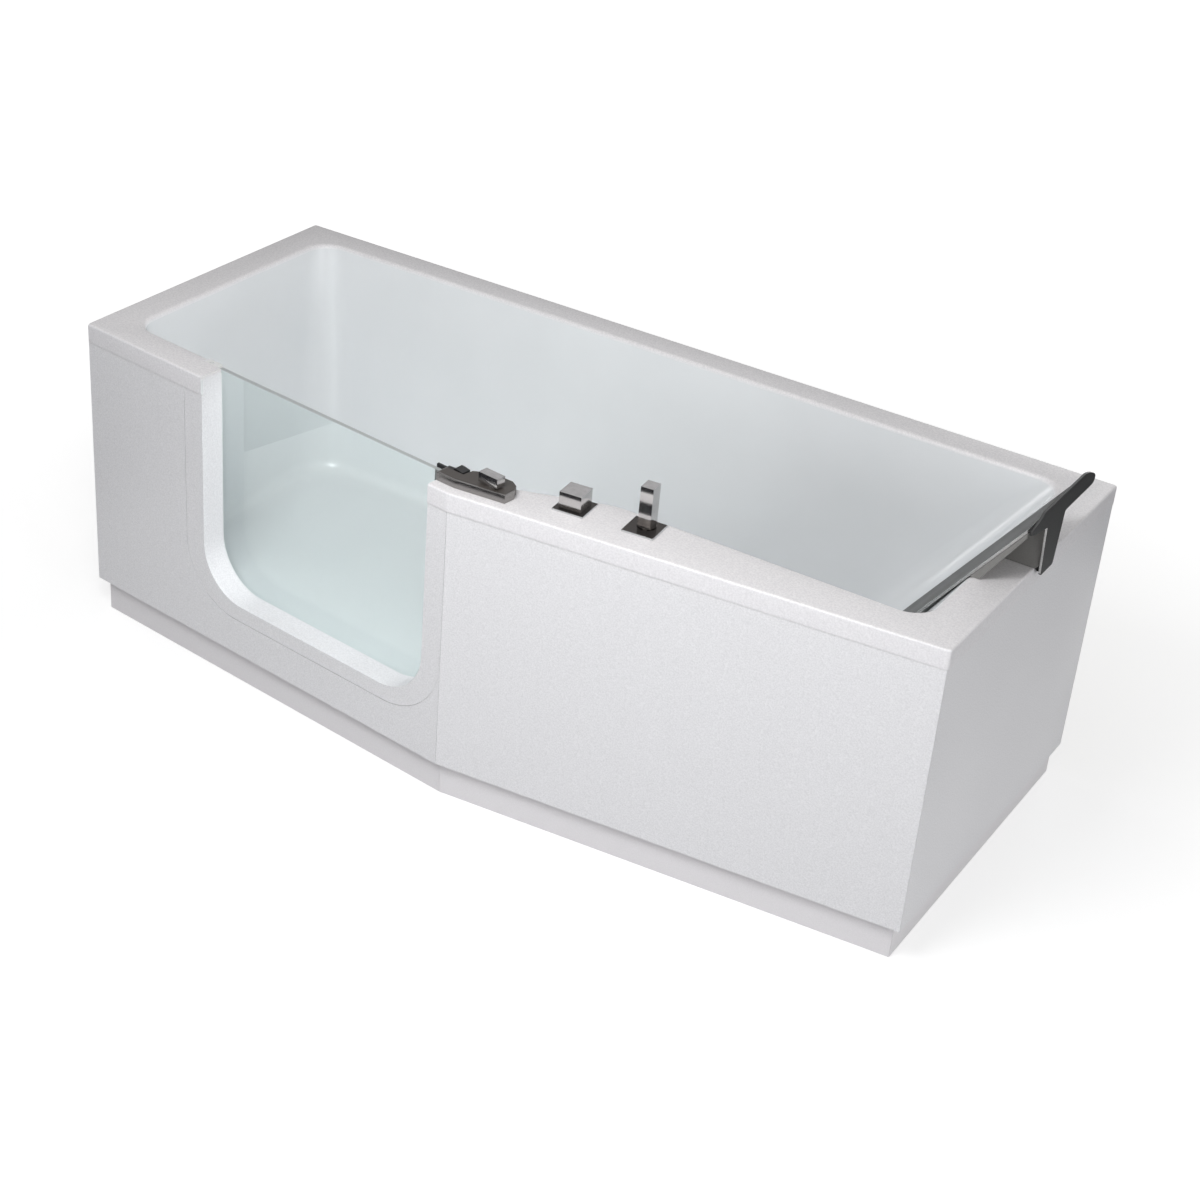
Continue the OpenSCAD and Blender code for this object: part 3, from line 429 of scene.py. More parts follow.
def sprayed_laminate():
    """Chopped glass strand sprayed on the back of the shell and rolled out: a yellowish, uneven
    resin coat with short fibres lying every way under it."""
    material, tree = empty_material("sprayed_laminate")
    place = add_node(tree, "ShaderNodeTexCoord")
    # strands are 25 mm long and lie across each other: two noises drawn out along X and along Z
    across = add_node(
        tree,
        "ShaderNodeMapping",
        inputs={"Rotation": (0.3, 0.5, 0.6), "Scale": (40.0, 420.0, 420.0)},
        links={"Vector": place.outputs["Object"]},
    )
    upright = add_node(
        tree,
        "ShaderNodeMapping",
        inputs={"Rotation": (0.7, -0.4, 0.2), "Scale": (420.0, 420.0, 40.0)},
        links={"Vector": place.outputs["Object"]},
    )
    first = add_node(
        tree,
        "ShaderNodeTexNoise",
        inputs={"Scale": 1.0, "Detail": 2.0},
        links={"Vector": across.outputs["Vector"]},
    )
    second = add_node(
        tree,
        "ShaderNodeTexNoise",
        inputs={"Scale": 1.0, "Detail": 2.0},
        links={"Vector": upright.outputs["Vector"]},
    )
    strands = add_node(
        tree,
        "ShaderNodeMath",
        settings={"operation": "MAXIMUM"},
        links={0: first.outputs["Fac"], 1: second.outputs["Fac"]},
    )
    spread = add_node(
        tree,
        "ShaderNodeMapRange",
        inputs={"From Min": 0.42, "From Max": 0.72},
        links={"Value": strands.outputs["Value"]},
    )
    colour = add_node(
        tree,
        "ShaderNodeMix",
        settings={"data_type": "RGBA"},
        inputs={6: linear("#C9C2A6"), 7: linear("#E7E3D2")},
        links={0: spread.outputs["Result"]},
    )
    bump = add_node(
        tree,
        "ShaderNodeBump",
        inputs={"Strength": 0.6, "Distance": 0.001},
        links={"Height": strands.outputs["Value"]},
    )
    shader = add_node(
        tree,
        "ShaderNodeBsdfPrincipled",
        inputs={"Roughness": 0.5, "IOR": 1.52},
        links={"Base Color": colour.outputs[2], "Normal": bump.outputs["Normal"]},
    )
    add_node(tree, "ShaderNodeOutputMaterial", links={"Surface": shader.outputs["BSDF"]})
    return material


def sealed_board():
    """Moisture-proof chipboard: pressed flakes of many browns under a clear seal."""
    material, tree = empty_material("sealed_board")
    place = add_node(tree, "ShaderNodeTexCoord")
    # flakes are 3 to 8 mm across
    flakes = add_node(
        tree,
        "ShaderNodeTexVoronoi",
        inputs={"Scale": 170.0},
        links={"Vector": place.outputs["Object"]},
    )
    shade = add_node(
        tree, "ShaderNodeSeparateColor", links={"Color": flakes.outputs["Color"]}
    )
    colour = add_node(
        tree,
        "ShaderNodeMix",
        settings={"data_type": "RGBA"},
        inputs={6: linear("#A98858"), 7: linear("#CDB487")},
        links={0: shade.outputs["Red"]},
    )
    bump = add_node(
        tree,
        "ShaderNodeBump",
        inputs={"Strength": 0.25, "Distance": 0.0004},
        links={"Height": flakes.outputs["Distance"]},
    )
    shader = add_node(
        tree,
        "ShaderNodeBsdfPrincipled",
        inputs={"Roughness": 0.55},
        links={"Base Color": colour.outputs[2], "Normal": bump.outputs["Normal"]},
    )
    add_node(tree, "ShaderNodeOutputMaterial", links={"Surface": shader.outputs["BSDF"]})
    return material


ACRYLIC = vacuum_formed_acrylic()
LAMINATE = sprayed_laminate()
# the shell's turned-down edge has the deck's grain
SKIRT = grained("grained_acrylic_edge", "#D3D2D5", "#F1F0F3", 0.44, 330.0, 0.4, 0.0005, 1.49)
# aprons and surround: acrylic-capped sheet pressed with a 0.4 mm grain, drawn at 2.5 mm; satin
APRON = grained("pressed_acrylic_sheet", "#CFCFD2", "#F3F3F6", 0.42, 400.0, 0.35, 0.0005, 1.49)
# plinth: lacquered board, the lacquer's orange peel about 2 mm across; a shade greyer
LACQUER = grained("sprayed_white_lacquer", "#DCDADD", "#EAE8EB", 0.4, 500.0, 0.2, 0.0003)
# hard moulded plastic that is only seen in small pieces; a fine spark-eroded skin
WHITE_PLASTIC = grained("moulded_polypropylene", "#DEDFDF", "#E8E8E7", 0.42, 900.0, 0.2, 0.0002)
BLACK = grained("moulded_black_nylon", "#121213", "#1E1E20", 0.38, 900.0, 0.3, 0.0002)
# rubber: dull, with bloom that lightens it in spots
RUBBER = grained("moulded_rubber", "#141414", "#232323", 0.72, 700.0, 0.4, 0.0003, 1.52)
SEAL = grained("silicone_seal", "#D3D6D7", "#DFE2E3", 0.5, 600.0, 0.15, 0.0002, 1.41)
# powder coats: baked paint whose orange peel is about 1 mm across, drawn at 2 mm
CHARCOAL = grained("charcoal_powder_coat", "#373838", "#434444", 0.5, 520.0, 0.35, 0.0003)
GREY_COAT = grained("grey_powder_coat", "#3D3D3C", "#494948", 0.46, 520.0, 0.35, 0.0003)
LIGHT_COAT = grained("light_grey_powder_coat", "#6F6E6C", "#7D7C7A", 0.46, 520.0, 0.35, 0.0003)
# the back support's cut edges and the hook's near face are bright steel: a painted highlight where
# they catch the light
EDGE_HIGHLIGHT_STEEL = plated("steel_edge_painted_highlight", "#B9B9B8", "#D2D2D0", 0.3)
# the lock's lid: anthracite stove enamel, even and silky
ENAMEL = grained("anthracite_stove_enamel", "#3D3936", "#47423E", 0.36, 800.0, 0.12, 0.0002)
# the ground rim of the glass: frosted by the wheel, so it takes light instead of passing it
GROUND_EDGE = grained("ground_glass_edge", "#A3A8A8", "#B5B9B9", 0.35, 1200.0, 0.2, 0.0002)
# chromium plate: a mirror, only the polishing lines break it
CHROME = plated("chromium_plate", "#C9CACB", "#DADBDC", 0.09)
# the handles are brushed before plating, which blurs what they mirror
SATIN_CHROME = plated("satin_chromium_plate", "#C2C0BF", "#D8D6D5", 0.17, 0.0018, 0.045)
# the strip round the lock is a smokier, coarser brushed plate
SMOKED_CHROME = plated("smoked_chromium_plate", "#8E8C8A", "#A8A6A4", 0.22, 0.0002, 0.04)
# chrome darkened to a smoky mirror, a painted dark reflection: on the tops of the square roses
# under the handles, and on the shower's sleeve
DARK_REFLECTION_CHROME = plated("chrome_painted_dark_reflection", "#4C4846", "#5A5653", 0.12)
# zinc plate, barrel finished: grey with a broad soft highlight
ZINC = plated("zinc_plate", "#9EA3A6", "#BCC0C2", 0.36)
BRASS = plated("turned_brass", "#BE9748", "#D6B264", 0.24)
# the hose: stainless strip wound in a spiral of 3 mm, felt as fine ribs
WOUND_STEEL = plated("wound_stainless_strip", "#A7A9AB", "#C6C8C9", 0.22, 0.0006, 0.003)
STUDDING = threaded_zinc()
GLASS = toughened_glass()
BOARD = sealed_board()


# ---- hose and cable, both under the deck ----


def deselect():
    if bpy.context.object and bpy.context.object.mode != "OBJECT":
        bpy.ops.object.mode_set(mode="OBJECT")
    bpy.ops.object.select_all(action="DESELECT")


def make_active(piece):
    deselect()
    piece.select_set(True)
    bpy.context.view_layer.objects.active = piece


def rounded_path(points, reaches):
    """Points along straight runs whose corners are arcs that start reach before the corner."""
    route = [points[0]]
    for before, corner, after, reach in zip(points, points[1:], points[2:], reaches):
        into = (corner - before).normalized()
        out = (after - corner).normalized()
        angle = into.angle(out)
        radius = reach / math.tan(angle / 2)
        centre = corner + (out - into).normalized() * (radius / math.cos(angle / 2))
        first, last = corner - into * reach, corner + out * reach
        for step in range(8):
            part = step / 7
            spoke = (first - centre) * math.sin((1 - part) * angle) + (last - centre) * math.sin(
                part * angle
            )
            route.append(centre + spoke / math.sin(angle))
    return route + [points[-1]]


def laid_tube(name, node, route, diameter, material):
    """A round tube along the route that stands for a node of the model."""
    line = bpy.data.curves.new(name, "CURVE")
    line.dimensions = "3D"
    line.bevel_depth = diameter / 2
    line.bevel_resolution = 3
    line.use_fill_caps = True
    spline = line.splines.new("POLY")
    spline.points.add(len(route) - 1)
    for spot, point in zip(spline.points, route):
        spot.co = (*point, 1.0)
    tube = bpy.data.objects.new(name, line)
    bpy.context.scene.collection.objects.link(tube)
    make_active(tube)
    bpy.ops.object.convert(target="MESH")
    tube = bpy.context.object
    bpy.ops.object.mode_set(mode="EDIT")
    bpy.ops.mesh.select_all(action="SELECT")
    bpy.ops.mesh.remove_doubles(threshold=1e-6)
    bpy.ops.mesh.normals_make_consistent(inside=False)
    bpy.ops.object.mode_set(mode="OBJECT")
    bpy.ops.object.shade_smooth_by_angle(angle=math.radians(50))
    tube.data.materials.clear()
    tube.data.materials.append(material)
    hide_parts(node)
    return tube


hose_route = rounded_path(
    [
        FRONT @ Vector((x * MM, y * MM, z * MM))
        for x, y, z in (
            (312, 81, 529.5),
            (312, 81, 260),
            (292, 73, 170),
            (232, 67, 170),
            (214, 61, 260),
            (200, 59, 390),
            (190, 59, 440),
            (190, 59, 494.5),
        )
    ],
    (0.03, 0.03, 0.03, 0.03, 0.03, 0.02),
)
hose = laid_tube("shower_hose_laid", "shower_hose", hose_route, 0.0084, WOUND_STEEL)
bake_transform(hose)

cable_route = rounded_path(
    [OVERFLOW @ Vector((0, 0, -0.042)), OVERFLOW @ Vector((0, 0, -0.066))]
    + [
        SHIFT + Vector((x * MM, y * MM, z * MM))
        for x, y, z in (
            (1284, -670.6, 425),
            (1284, -668.6, 120),
            (1250, -552.6, 42),
            (990, -348, 42),
            (920, -328, 88),
            (862, -328, 88),
        )
    ],
    (0.0235, 0.03, 0.03, 0.03, 0.03, 0.03),
)
cable = laid_tube("plug_cable_laid", "plug_cable", cable_route, 0.006, BLACK)
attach(cable, "bath")


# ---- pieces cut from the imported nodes, with softened edges ----


def softened(node, body, slot, material, edge=0.8, angle=32, smooth=40):
    """A copy of a node, its doubles merged and its sharp edges rounded by edge millimetres."""
    piece = bpy.data.objects.new(node + "_finished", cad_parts[node].data.copy())
    bpy.context.scene.collection.objects.link(piece)
    make_active(piece)
    bpy.ops.object.mode_set(mode="EDIT")
    bpy.ops.mesh.select_all(action="SELECT")
    bpy.ops.mesh.remove_doubles(threshold=2e-6)
    bpy.ops.mesh.dissolve_limited(angle_limit=math.radians(0.4))
    bpy.ops.object.mode_set(mode="OBJECT")
    if edge:
        bevel = piece.modifiers.new("edges", "BEVEL")
        bevel.width = edge * MM
        bevel.segments = 3
        bevel.limit_method = "ANGLE"
        bevel.angle_limit = math.radians(angle)
        bevel.use_clamp_overlap = True
        bpy.ops.object.modifier_apply(modifier=bevel.name)
    bpy.ops.object.shade_smooth_by_angle(angle=math.radians(smooth))
    if edge:
        # flat faces stay flat to the eye and only the rounded edges turn
        flat = piece.modifiers.new("flat_faces", "WEIGHTED_NORMAL")
        flat.weight = 100
        flat.keep_sharp = True
        bpy.ops.object.modifier_apply(modifier=flat.name)
    piece.data.materials.clear()
    piece.data.materials.append(material)
    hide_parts(node)
    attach(piece, body)
    return piece


def pick_faces(piece, wanted):
    """Goes to edit mode with only the faces selected that wanted picks by middle and normal."""
    bpy.ops.object.mode_set(mode="OBJECT")
    bpy.context.tool_settings.mesh_select_mode = (False, False, True)
    for part in (piece.data.vertices, piece.data.edges):
        part.foreach_set("select", [False] * len(part))
    for face in piece.data.polygons:
        face.select = wanted(face.center, face.normal)
    bpy.ops.object.mode_set(mode="EDIT")


def other_finish(piece, material, wanted):
    """Gives the faces that wanted picks, by their middle and normal, another material."""
    piece.data.materials.append(material)
    for face in piece.data.polygons:
        if wanted(face.center, face.normal):
            face.material_index = len(piece.data.materials) - 1


for entry in (
    ("door_surround", "bath", "trim", APRON, 1.6),
    ("panel_door_side", "bath", "acrylic", APRON, 0.4),
    ("panel_front", "bath", "acrylic", APRON, 0.4),
    ("panel_right_end", "bath", "acrylic", APRON, 0.4),
    ("panel_left_end", "bath", "acrylic", APRON, 0.4),
    ("plinth_door_side", "bath", "board", LACQUER, 0.5),
    ("plinth_front", "bath", "board", LACQUER, 0.5),
    ("plinth_right", "bath", "board", LACQUER, 0.5),
    ("plinth_left", "bath", "board", LACQUER, 0.5),
    ("floor_board", "bath", "wood", BOARD, 0.6),
    ("base_frame", "bath", "steel", ZINC, 1.0),
    ("rim_posts", "bath", "steel", ZINC, 1.0),
    ("foot_screws", "bath", "steel", STUDDING, 0.6),
    ("foot_nuts", "bath", "steel", ZINC, 0.6),
    ("foot_pads", "bath", "rubber", RUBBER, 1.0),
    ("door_seal", "bath", "white_rubber", SEAL, 0.5),
    ("hinge_post", "door", "chrome", CHROME, 0.5),
    ("hinge_bushes", "door", "white_plastic", WHITE_PLASTIC, 0.2),
    ("hinge_pins", "bath", "chrome", CHROME, 0.3),
    ("hinge_block_top", "bath", "trim", WHITE_PLASTIC, 1.2),
    ("hinge_block_bottom", "bath", "trim", WHITE_PLASTIC, 1.2),
    ("latch_keeper", "door", "black_plastic", BLACK, 1.2),
    ("keeper_box", "door", "black_plastic", BLACK, 0.3),
    ("lock_base", "bath", "black_plastic", BLACK, 0.3),
    ("lock_cover", "bath", "dark_metal", ENAMEL, 0.9),
    ("lock_fascia", "bath", "chrome", SMOKED_CHROME, 0.6),
    ("lock_knob", "lock_handle", "chrome", SATIN_CHROME, 0.9),
    ("lock_spindle", "lock_handle", "brass", BRASS, 0.15),
    ("latch_bolt", "bolt", "steel", ZINC, 0.2),
    ("mixer_knob", "mixer_handle", "chrome", SATIN_CHROME, 1.1),
    ("mixer_stem", "mixer_handle", "brass", BRASS, 0.3),
    ("mixer_body", "bath", "brass", BRASS, 0.6),
    ("mixer_nut", "bath", "brass", BRASS, 0.6),
    ("filler_pipe", "bath", "white_plastic", WHITE_PLASTIC, 0),
    # the shower's sleeve: chrome with a painted dark reflection
    ("shower_sleeve", "bath", "chrome", DARK_REFLECTION_CHROME, 0.4),
    ("shower_nut", "bath", "brass", BRASS, 0.6),
    ("hand_shower", "shower", "chrome", SATIN_CHROME, 1.1),
    ("drain_flange", "bath", "chrome", CHROME, 0.5),
    ("drain_body", "bath", "black_plastic", BLACK, 0.6),
    ("plug_seal", "plug", "rubber", RUBBER, 0.3),
    ("trap", "bath", "white_plastic", WHITE_PLASTIC, 0.8),
    ("overflow_rosette", "bath", "chrome", CHROME, 0.8),
    ("overflow_body", "bath", "black_plastic", BLACK, 0.6),
    ("overflow_knob", "overflow_handle", "chrome", CHROME, 0.8),
    ("overflow_pipe", "bath", "white_plastic", WHITE_PLASTIC, 0),
    ("back_cheeks", "bath", "grey_metal", LIGHT_COAT, 0.6),
    ("back_web", "bath", "grey_metal", LIGHT_COAT, 0.6),
    ("hook_gussets", "bath", "grey_metal", LIGHT_COAT, 0.5),
    ("rim_pad", "bath", "rubber", RUBBER, 0.8),
):
    softened(*entry)

# the roses' tops carry a painted dark reflection; their upright sides are plain chrome
for node in ("mixer_rosette", "shower_rosette"):
    rose = softened(node, "bath", "chrome", DARK_REFLECTION_CHROME, 0.5)
    other_finish(rose, CHROME, lambda middle, normal: abs(normal.z) < 0.97)

support = softened("back_plate", "bath", "grey_metal", GREY_COAT, 0.7)
SUPPORT_SLOPE = math.radians(53.2)
plate_out = Vector((-math.sin(SUPPORT_SLOPE), 0, math.cos(SUPPORT_SLOPE)))
# the plate's edges get a painted highlight in bright steel
other_finish(support, EDGE_HIGHLIGHT_STEEL, lambda middle, normal: abs(normal.dot(plate_out)) < 0.95)

hook = softened("hook_plate", "bath", "dark_metal", CHARCOAL, 0.8)
# painted highlight: the hook's near face below its bend gets the bright steel
HOOK_BEND = 0.671  # the near edge is bright below the hook's bend only
other_finish(hook, EDGE_HIGHLIGHT_STEEL, lambda middle, normal: middle.z < HOOK_BEND and normal.y < -0.9)

shell = softened("tub_shell", "bath", "acrylic", ACRYLIC, 0)
well_middle = SHIFT + Vector((0.900, -0.340, 0.620))
LIP_FOOT = 0.553  # just under the rim's turned-down edge
ACROSS_THE_WELL = 0.25  # seen from inside the well, every far wall is further off than this

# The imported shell's back crosses its face beside the lock, where the wall is twisted and the two
# sides are split along opposite diagonals. Turning the back's diagonal makes the wall whole.
pick_faces(
    shell,
    lambda middle, normal: 0.05 < middle.x < 0.18 and 0.2 < middle.z < 0.5 and normal.y < -0.8,
)
bpy.ops.mesh.edge_rotate(use_ccw=False)
deselect()
bpy.context.view_layer.update()


def back_of_shell(middle, normal):
    """True on the laminated side: it looks away from the well, with no far wall opposite."""
    start = middle + normal * MM
    met, spot = shell.ray_cast(start, normal)[:2]
    outward = middle.z < LIP_FOOT and normal.dot(middle - well_middle) > 0
    far_wall = met and (spot - start).length > ACROSS_THE_WELL
    return normal.z < -0.7 or (outward and not far_wall)


def turned_down_edge(middle, normal):
    """True on the upright outer side of the rim."""
    return middle.z > LIP_FOOT and abs(normal.z) < 0.7 and normal.dot(middle - well_middle) > 0


other_finish(shell, LAMINATE, back_of_shell)
other_finish(shell, SKIRT, turned_down_edge)

pane = softened("door_glass", "door", "glass", GLASS, 0.6)
door_inward = (DOOR.to_3x3() @ Vector((0, 1, 0))).normalized()
other_finish(pane, GROUND_EDGE, lambda middle, normal: abs(normal.dot(door_inward)) < 0.9)


# ---- small pieces modelled for the photograph's close details ----


def settle(piece, name, place, material, body, smooth=35):
    """Names a modelled piece, puts its place in its mesh and hangs it on its body."""
    make_active(piece)
    piece.name = name
    piece.data.transform(place @ piece.matrix_world)
    piece.matrix_world = Matrix.Identity(4)
    bpy.ops.object.shade_smooth_by_angle(angle=math.radians(smooth))
    piece.data.materials.clear()
    piece.data.materials.append(material)
    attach(piece, body)
    return piece


def repeat(piece, places):
    """Copies of a piece at each place, each with its own mesh, joined into one piece."""
    copies = []
    for place in places:
        copy = bpy.data.objects.new(piece.name + "_copy", piece.data.copy())
        copy.data.transform(place @ piece.matrix_world)
        bpy.context.scene.collection.objects.link(copy)
        copies.append(copy)
    bpy.data.objects.remove(piece)
    deselect()
    for copy in copies:
        copy.select_set(True)
    bpy.context.view_layer.objects.active = copies[0]
    bpy.ops.object.join()
    return copies[0]


def turned(profile, steps=64):
    """A solid turned about Z from its (radius, height) profile in millimetres, axis to axis."""
    deselect()
    bpy.ops.mesh.primitive_plane_add(size=0.01, location=(0, 0, 0))
    piece = bpy.context.object
    bpy.context.tool_settings.mesh_select_mode = (True, False, False)
    bpy.ops.object.mode_set(mode="EDIT")
    bpy.ops.mesh.select_all(action="SELECT")
    bpy.ops.mesh.merge(type="CENTER")
    spot = Vector((0, 0, 0))
    for number, (radius, height) in enumerate(profile):
        goal = Vector((radius * MM, 0, height * MM))
        if number == 0:
            bpy.ops.transform.translate(value=goal - spot)
        else:
            bpy.ops.mesh.extrude_vertices_move(TRANSFORM_OT_translate={"value": goal - spot})
        spot = goal
    bpy.ops.mesh.select_all(action="SELECT")
    bpy.ops.mesh.spin(steps=steps, angle=2 * math.pi, center=(0, 0, 0), axis=(0, 0, 1))
    bpy.ops.mesh.select_all(action="SELECT")
    bpy.ops.mesh.remove_doubles(threshold=1e-6)
    bpy.ops.mesh.normals_make_consistent(inside=False)
    bpy.ops.object.mode_set(mode="OBJECT")
    return piece


# the pop-up plug: pressed, so it domes a little and its lip is rolled
plug = turned(
    [
        (0, 6.0),
        (12, 5.85),
        (21, 5.35),
        (26, 4.75),
        (28.6, 4.1),
        (29.8, 3.6),
        (30, 3.3),
        (29.8, 3.05),
        (28, 3.0),
        (18, 3.0),
        (18, 1.2),
        (3, 1.2),
        (3, -29.6),
        (2.6, -30),
        (0, -30),
    ]
)
settle(plug, "drain_plug_pressed", DRAIN, CHROME, "plug", 30)
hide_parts("drain_plug")

# rubber nozzles of the hand shower, four rows of five on its spray side
deselect()
bpy.ops.mesh.primitive_cone_add(vertices=12, radius1=0.0013, radius2=0.0009, depth=0.003)
nub = bpy.context.object
pick_faces(nub, lambda middle, normal: normal.z > 0.9)
bpy.ops.mesh.inset(thickness=0.0004)
bpy.ops.mesh.extrude_region_move(TRANSFORM_OT_translate={"value": (0, 0, -0.0008)})
deselect()
nubs = repeat(
    nub,
    [
        Matrix.Translation((i * 3.6 * MM, 0.0149, (36 + k * 9) * MM))
        @ Matrix.Rotation(-math.pi / 2, 4, "X")
        for i in range(-2, 3)
        for k in range(4)
    ],
)
settle(nubs, "shower_nozzles", SHOWER, RUBBER, "shower")

# the keeper's screws: their heads get the six-sided socket of a machine screw
screws = softened("keeper_screws", "door", "chrome", ZINC, 0.4)
HEAD_FACE_Y, SCREW_Z = 0.04765, 0.560  # in the door's frame
for screw_x in (0.79803, 0.81603):
    deselect()
    bpy.ops.mesh.primitive_cylinder_add(vertices=6, radius=0.0034, depth=0.0026)
    key = bpy.context.object
    key.data.transform(
        DOOR
        @ Matrix.Translation((screw_x, HEAD_FACE_Y, SCREW_Z))
        @ Matrix.Rotation(math.pi / 2, 4, "X")
    )
    make_active(screws)
    cut = screws.modifiers.new("socket", "BOOLEAN")
    cut.operation = "DIFFERENCE"
    cut.solver = "EXACT"
    cut.object = key
    bpy.ops.object.modifier_apply(modifier=cut.name)
    bpy.data.objects.remove(key)

# weld beads between the gussets and the hook's leg: one upright row on each side of the leg
deselect()
bpy.ops.mesh.primitive_uv_sphere_add(segments=10, ring_count=6, radius=0.0021)
bead = bpy.context.object
bpy.ops.object.mode_set(mode="EDIT")
bpy.ops.mesh.select_all(action="SELECT")
bpy.ops.transform.resize(value=(1.0, 1.0, 0.62), center_override=(0, 0, 0))
bpy.ops.object.mode_set(mode="OBJECT")
SUPPORT_MIDDLE_Y = -0.338
HOOK_LEG_X = 1.7075  # the leg's inner face
BEAD_SUNK, BEAD_PITCH, BEAD_SIDE = 0.0006, 0.00165, 0.0242
beads = repeat(
    bead,
    [
        Matrix.Translation((-BEAD_SUNK, side * BEAD_SIDE, 0.010 + step * BEAD_PITCH))
        @ Matrix.Rotation(0.35, 4, "Y")
        for side in (-1, 1)
        for step in range(44)
    ],
)
settle(
    beads,
    "gusset_welds",
    Matrix.Translation(SHIFT + Vector((HOOK_LEG_X, SUPPORT_MIDDLE_Y, RIM))),
    LIGHT_COAT,
    "bath",
)

# ribs moulded on the outer face of the pad that keeps the hook off the rim
deselect()
bpy.ops.mesh.primitive_cylinder_add(
    vertices=16, radius=0.0009, depth=0.026, rotation=(math.pi / 2, 0, 0)
)
rib = bpy.context.object
pick_faces(rib, lambda middle, normal: abs(normal.z) > 0.9)
bpy.ops.mesh.inset(thickness=0.0003)
deselect()
ribs = repeat(rib, [Matrix.Translation((0, 0, (-6 + k * 2.4) * MM)) for k in range(6)])
PAD_X, PAD_T = 1.7002, 0.0066
settle(
    ribs,
    "rim_pad_ribs",
    Matrix.Translation(SHIFT + Vector((PAD_X + PAD_T, SUPPORT_MIDDLE_Y, RIM))),
    RUBBER,
    "bath",
)


# ---- floor, light and what bright metal mirrors ----


def seen_as_white(tree):
    """1 for rays of the camera, of mirrors and through glass, 0 for light that is thrown back."""
    rays = add_node(tree, "ShaderNodeLightPath")
    seen = add_node(
        tree,
        "ShaderNodeMath",
        settings={"operation": "MAXIMUM"},
        links={0: rays.outputs["Is Camera Ray"], 1: rays.outputs["Is Glossy Ray"]},
    )
    clear = add_node(
        tree,
        "ShaderNodeMath",
        settings={"operation": "MAXIMUM"},
        links={0: seen.outputs["Value"], 1: rays.outputs["Is Transmission Ray"]},
    )
    return clear.outputs["Value"]


def studio_floor_finish():
    """Matt white studio floor: the camera, mirrors and glass see it white with the soft shadow
    of the bath on it, while the light it throws back is that of a mid grey."""
    material, tree = empty_material("studio_floor")
    matt = add_node(tree, "ShaderNodeBsdfDiffuse", inputs={"Color": (0.42, 0.42, 0.42, 1.0)})
    place = add_node(tree, "ShaderNodeTexCoord")
    away = add_node(
        tree,
        "ShaderNodeVectorMath",
        settings={"operation": "LENGTH"},
        links={0: place.outputs["Object"]},
    )
    far = add_node(
        tree,
        "ShaderNodeMapRange",
        inputs={"From Min": 1.0, "From Max": 3.2, "To Min": 0.66, "To Max": 1.0},
        links={"Value": away.outputs["Value"]},
    )
    glow = add_node(tree, "ShaderNodeEmission", links={"Strength": far.outputs["Result"]})
    white = add_node(
        tree, "ShaderNodeAddShader", links={0: matt.outputs["BSDF"], 1: glow.outputs["Emission"]}
    )
    mixed = add_node(
        tree,
        "ShaderNodeMixShader",
        links={0: seen_as_white(tree), 1: matt.outputs["BSDF"], 2: white.outputs["Shader"]},
    )
    add_node(tree, "ShaderNodeOutputMaterial", links={"Surface": mixed.outputs["Shader"]})
    return material


def graded_backdrop():
    """Graded backdrop paper, charcoal up to a metre and paling to light grey at the top. Only
    mirror finishes see it, so bright metal gets dark and light sides as in a closed studio."""
    material, tree = empty_material("graded_backdrop_paper")
    place = add_node(tree, "ShaderNodeTexCoord")
    axes = add_node(tree, "ShaderNodeSeparateXYZ", links={"Vector": place.outputs["Object"]})
    height = add_node(
        tree,
        "ShaderNodeMapRange",
        inputs={"From Min": 1.0, "From Max": 5.0},
        links={"Value": axes.outputs["Z"]},
    )
    colour = add_node(
        tree,
        "ShaderNodeMix",
        settings={"data_type": "RGBA"},
        inputs={6: linear("#2C2C30"), 7: linear("#E4E4E6")},
        links={0: height.outputs["Result"]},
    )
    glow = add_node(tree, "ShaderNodeEmission", links={"Color": colour.outputs[2]})
    add_node(tree, "ShaderNodeOutputMaterial", links={"Surface": glow.outputs["Emission"]})
    return material


def hang_backdrop(piece, name, material):
    piece.name = name
    piece.data.materials.append(material)
    piece.visible_camera = False
    piece.visible_diffuse = False
    piece.visible_transmission = False
    piece.visible_shadow = False


deselect()
bpy.ops.mesh.primitive_plane_add(size=60, location=(0, 0, 0))
studio = bpy.context.object
studio.name = "studio_floor"
studio.data.materials.append(studio_floor_finish())

BACKDROP = graded_backdrop()
RING_R, RING_H = 6, 7
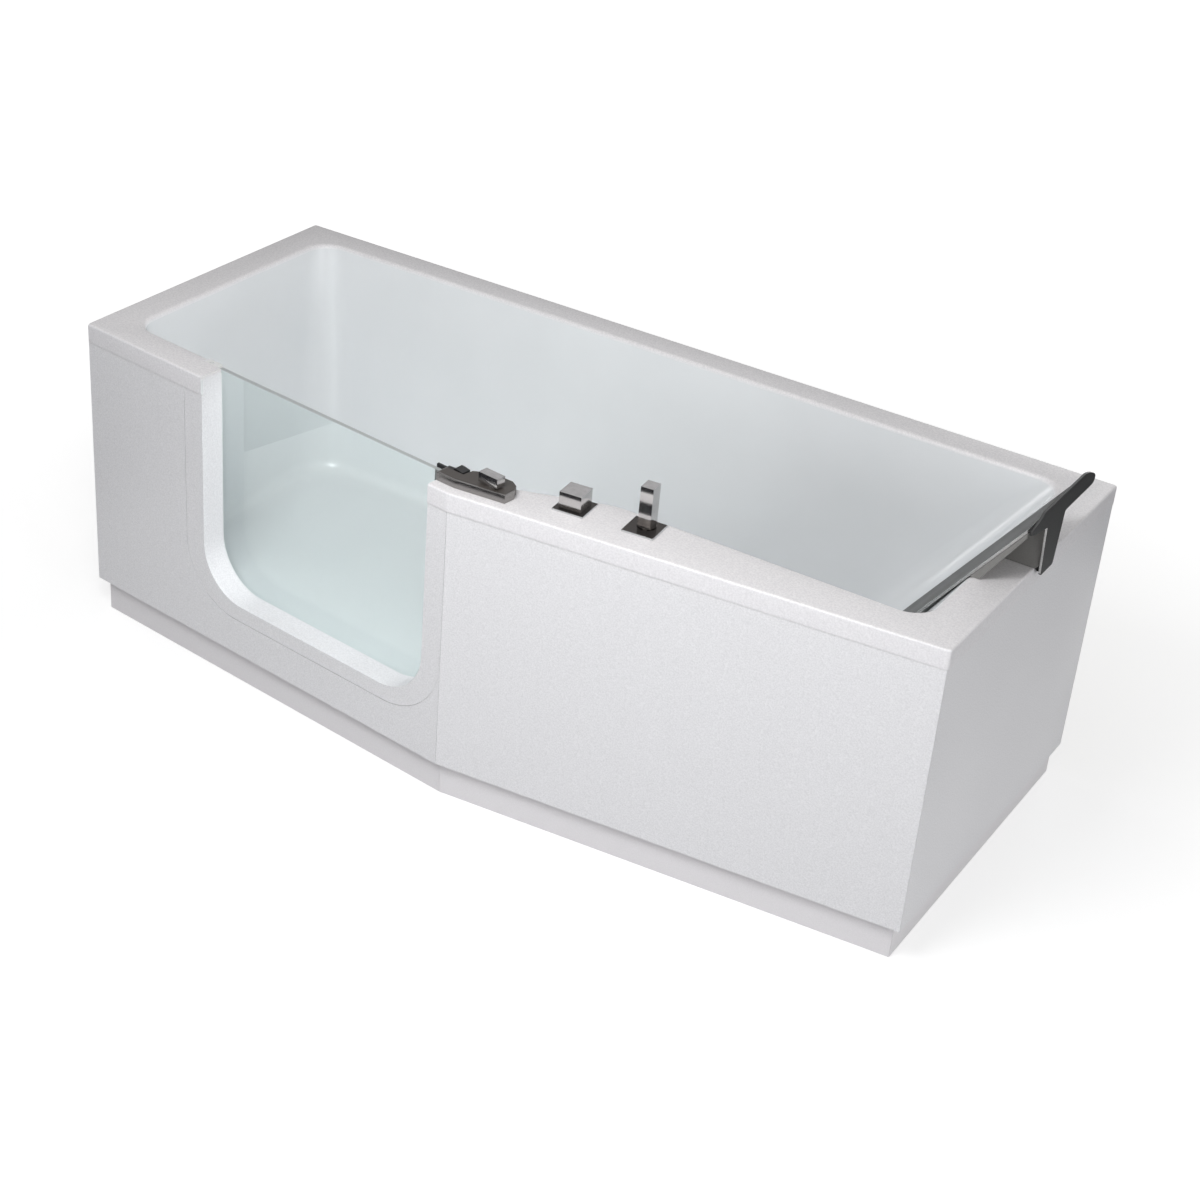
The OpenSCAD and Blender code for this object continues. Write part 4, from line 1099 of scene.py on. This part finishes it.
# paper laid round the bath in a square of 12 m, without the middle one of its 5 by 5 fields
deselect()
bpy.ops.mesh.primitive_grid_add(
    x_subdivisions=5, y_subdivisions=5, size=2 * RING_R, location=(0, 0, 0.002)
)
laid = bpy.context.object
pick_faces(laid, lambda middle, normal: abs(middle.x) < 1.2 and abs(middle.y) < 1.2)
bpy.ops.mesh.delete(type="FACE")
deselect()
hang_backdrop(laid, "paper_laid_round", BACKDROP)
# paper hung in a ring 6 m away and 7 m high
deselect()
bpy.ops.mesh.primitive_cylinder_add(
    vertices=64, radius=RING_R, depth=RING_H, end_fill_type="NOTHING", location=(0, 0, RING_H / 2)
)
bpy.ops.object.transform_apply(location=True)
hang_backdrop(bpy.context.object, "paper_hung_round", BACKDROP)

world = bpy.data.worlds.new("studio_world")
bpy.context.scene.world = world
world.use_nodes = True
world.node_tree.nodes.clear()
soft_sky = add_node(
    world.node_tree,
    "ShaderNodeBackground",
    inputs={"Color": linear("#FFFFFF"), "Strength": 0.28},
)
white_sky = add_node(
    world.node_tree,
    "ShaderNodeBackground",
    inputs={"Color": linear("#FFFFFF"), "Strength": 1.0},
)
sky = add_node(
    world.node_tree,
    "ShaderNodeMixShader",
    links={0: seen_as_white(world.node_tree), 1: soft_sky.outputs[0], 2: white_sky.outputs[0]},
)
add_node(world.node_tree, "ShaderNodeOutputWorld", links={"Surface": sky.outputs["Shader"]})


def add_lamp(name, place, target, size, power):
    """A square soft box that looks from its place to its target."""
    lamp = bpy.data.lights.new(name, "AREA")
    lamp.shape = "SQUARE"
    lamp.size = size
    lamp.energy = power
    holder = bpy.data.objects.new(name, lamp)
    bpy.context.scene.collection.objects.link(holder)
    holder.location = place
    aim = Vector(target) - Vector(place)
    holder.rotation_euler = aim.to_track_quat("-Z", "Y").to_euler()


add_lamp("soft_box_over_the_front", (0.25, -1.5, 1.95), (0.0, -0.3, 0.4), 0.8, 28)
add_lamp("low_soft_box_in_front", (0.6, -4.5, 0.7), (0.0, -0.4, 0.3), 2.0, 25)
add_lamp("soft_box_from_the_right", (4.2, -1.6, 1.5), (0.85, 0.0, 0.3), 2.0, 62)
add_lamp("soft_box_from_the_left", (-4.2, 0.6, 1.0), (-0.85, 0.0, 0.3), 2.0, 48)
add_lamp("soft_box_behind", (0.3, 4.4, 0.9), (0.0, 0.38, 0.3), 2.0, 55)

bpy.context.scene.view_settings.view_transform = "Standard"
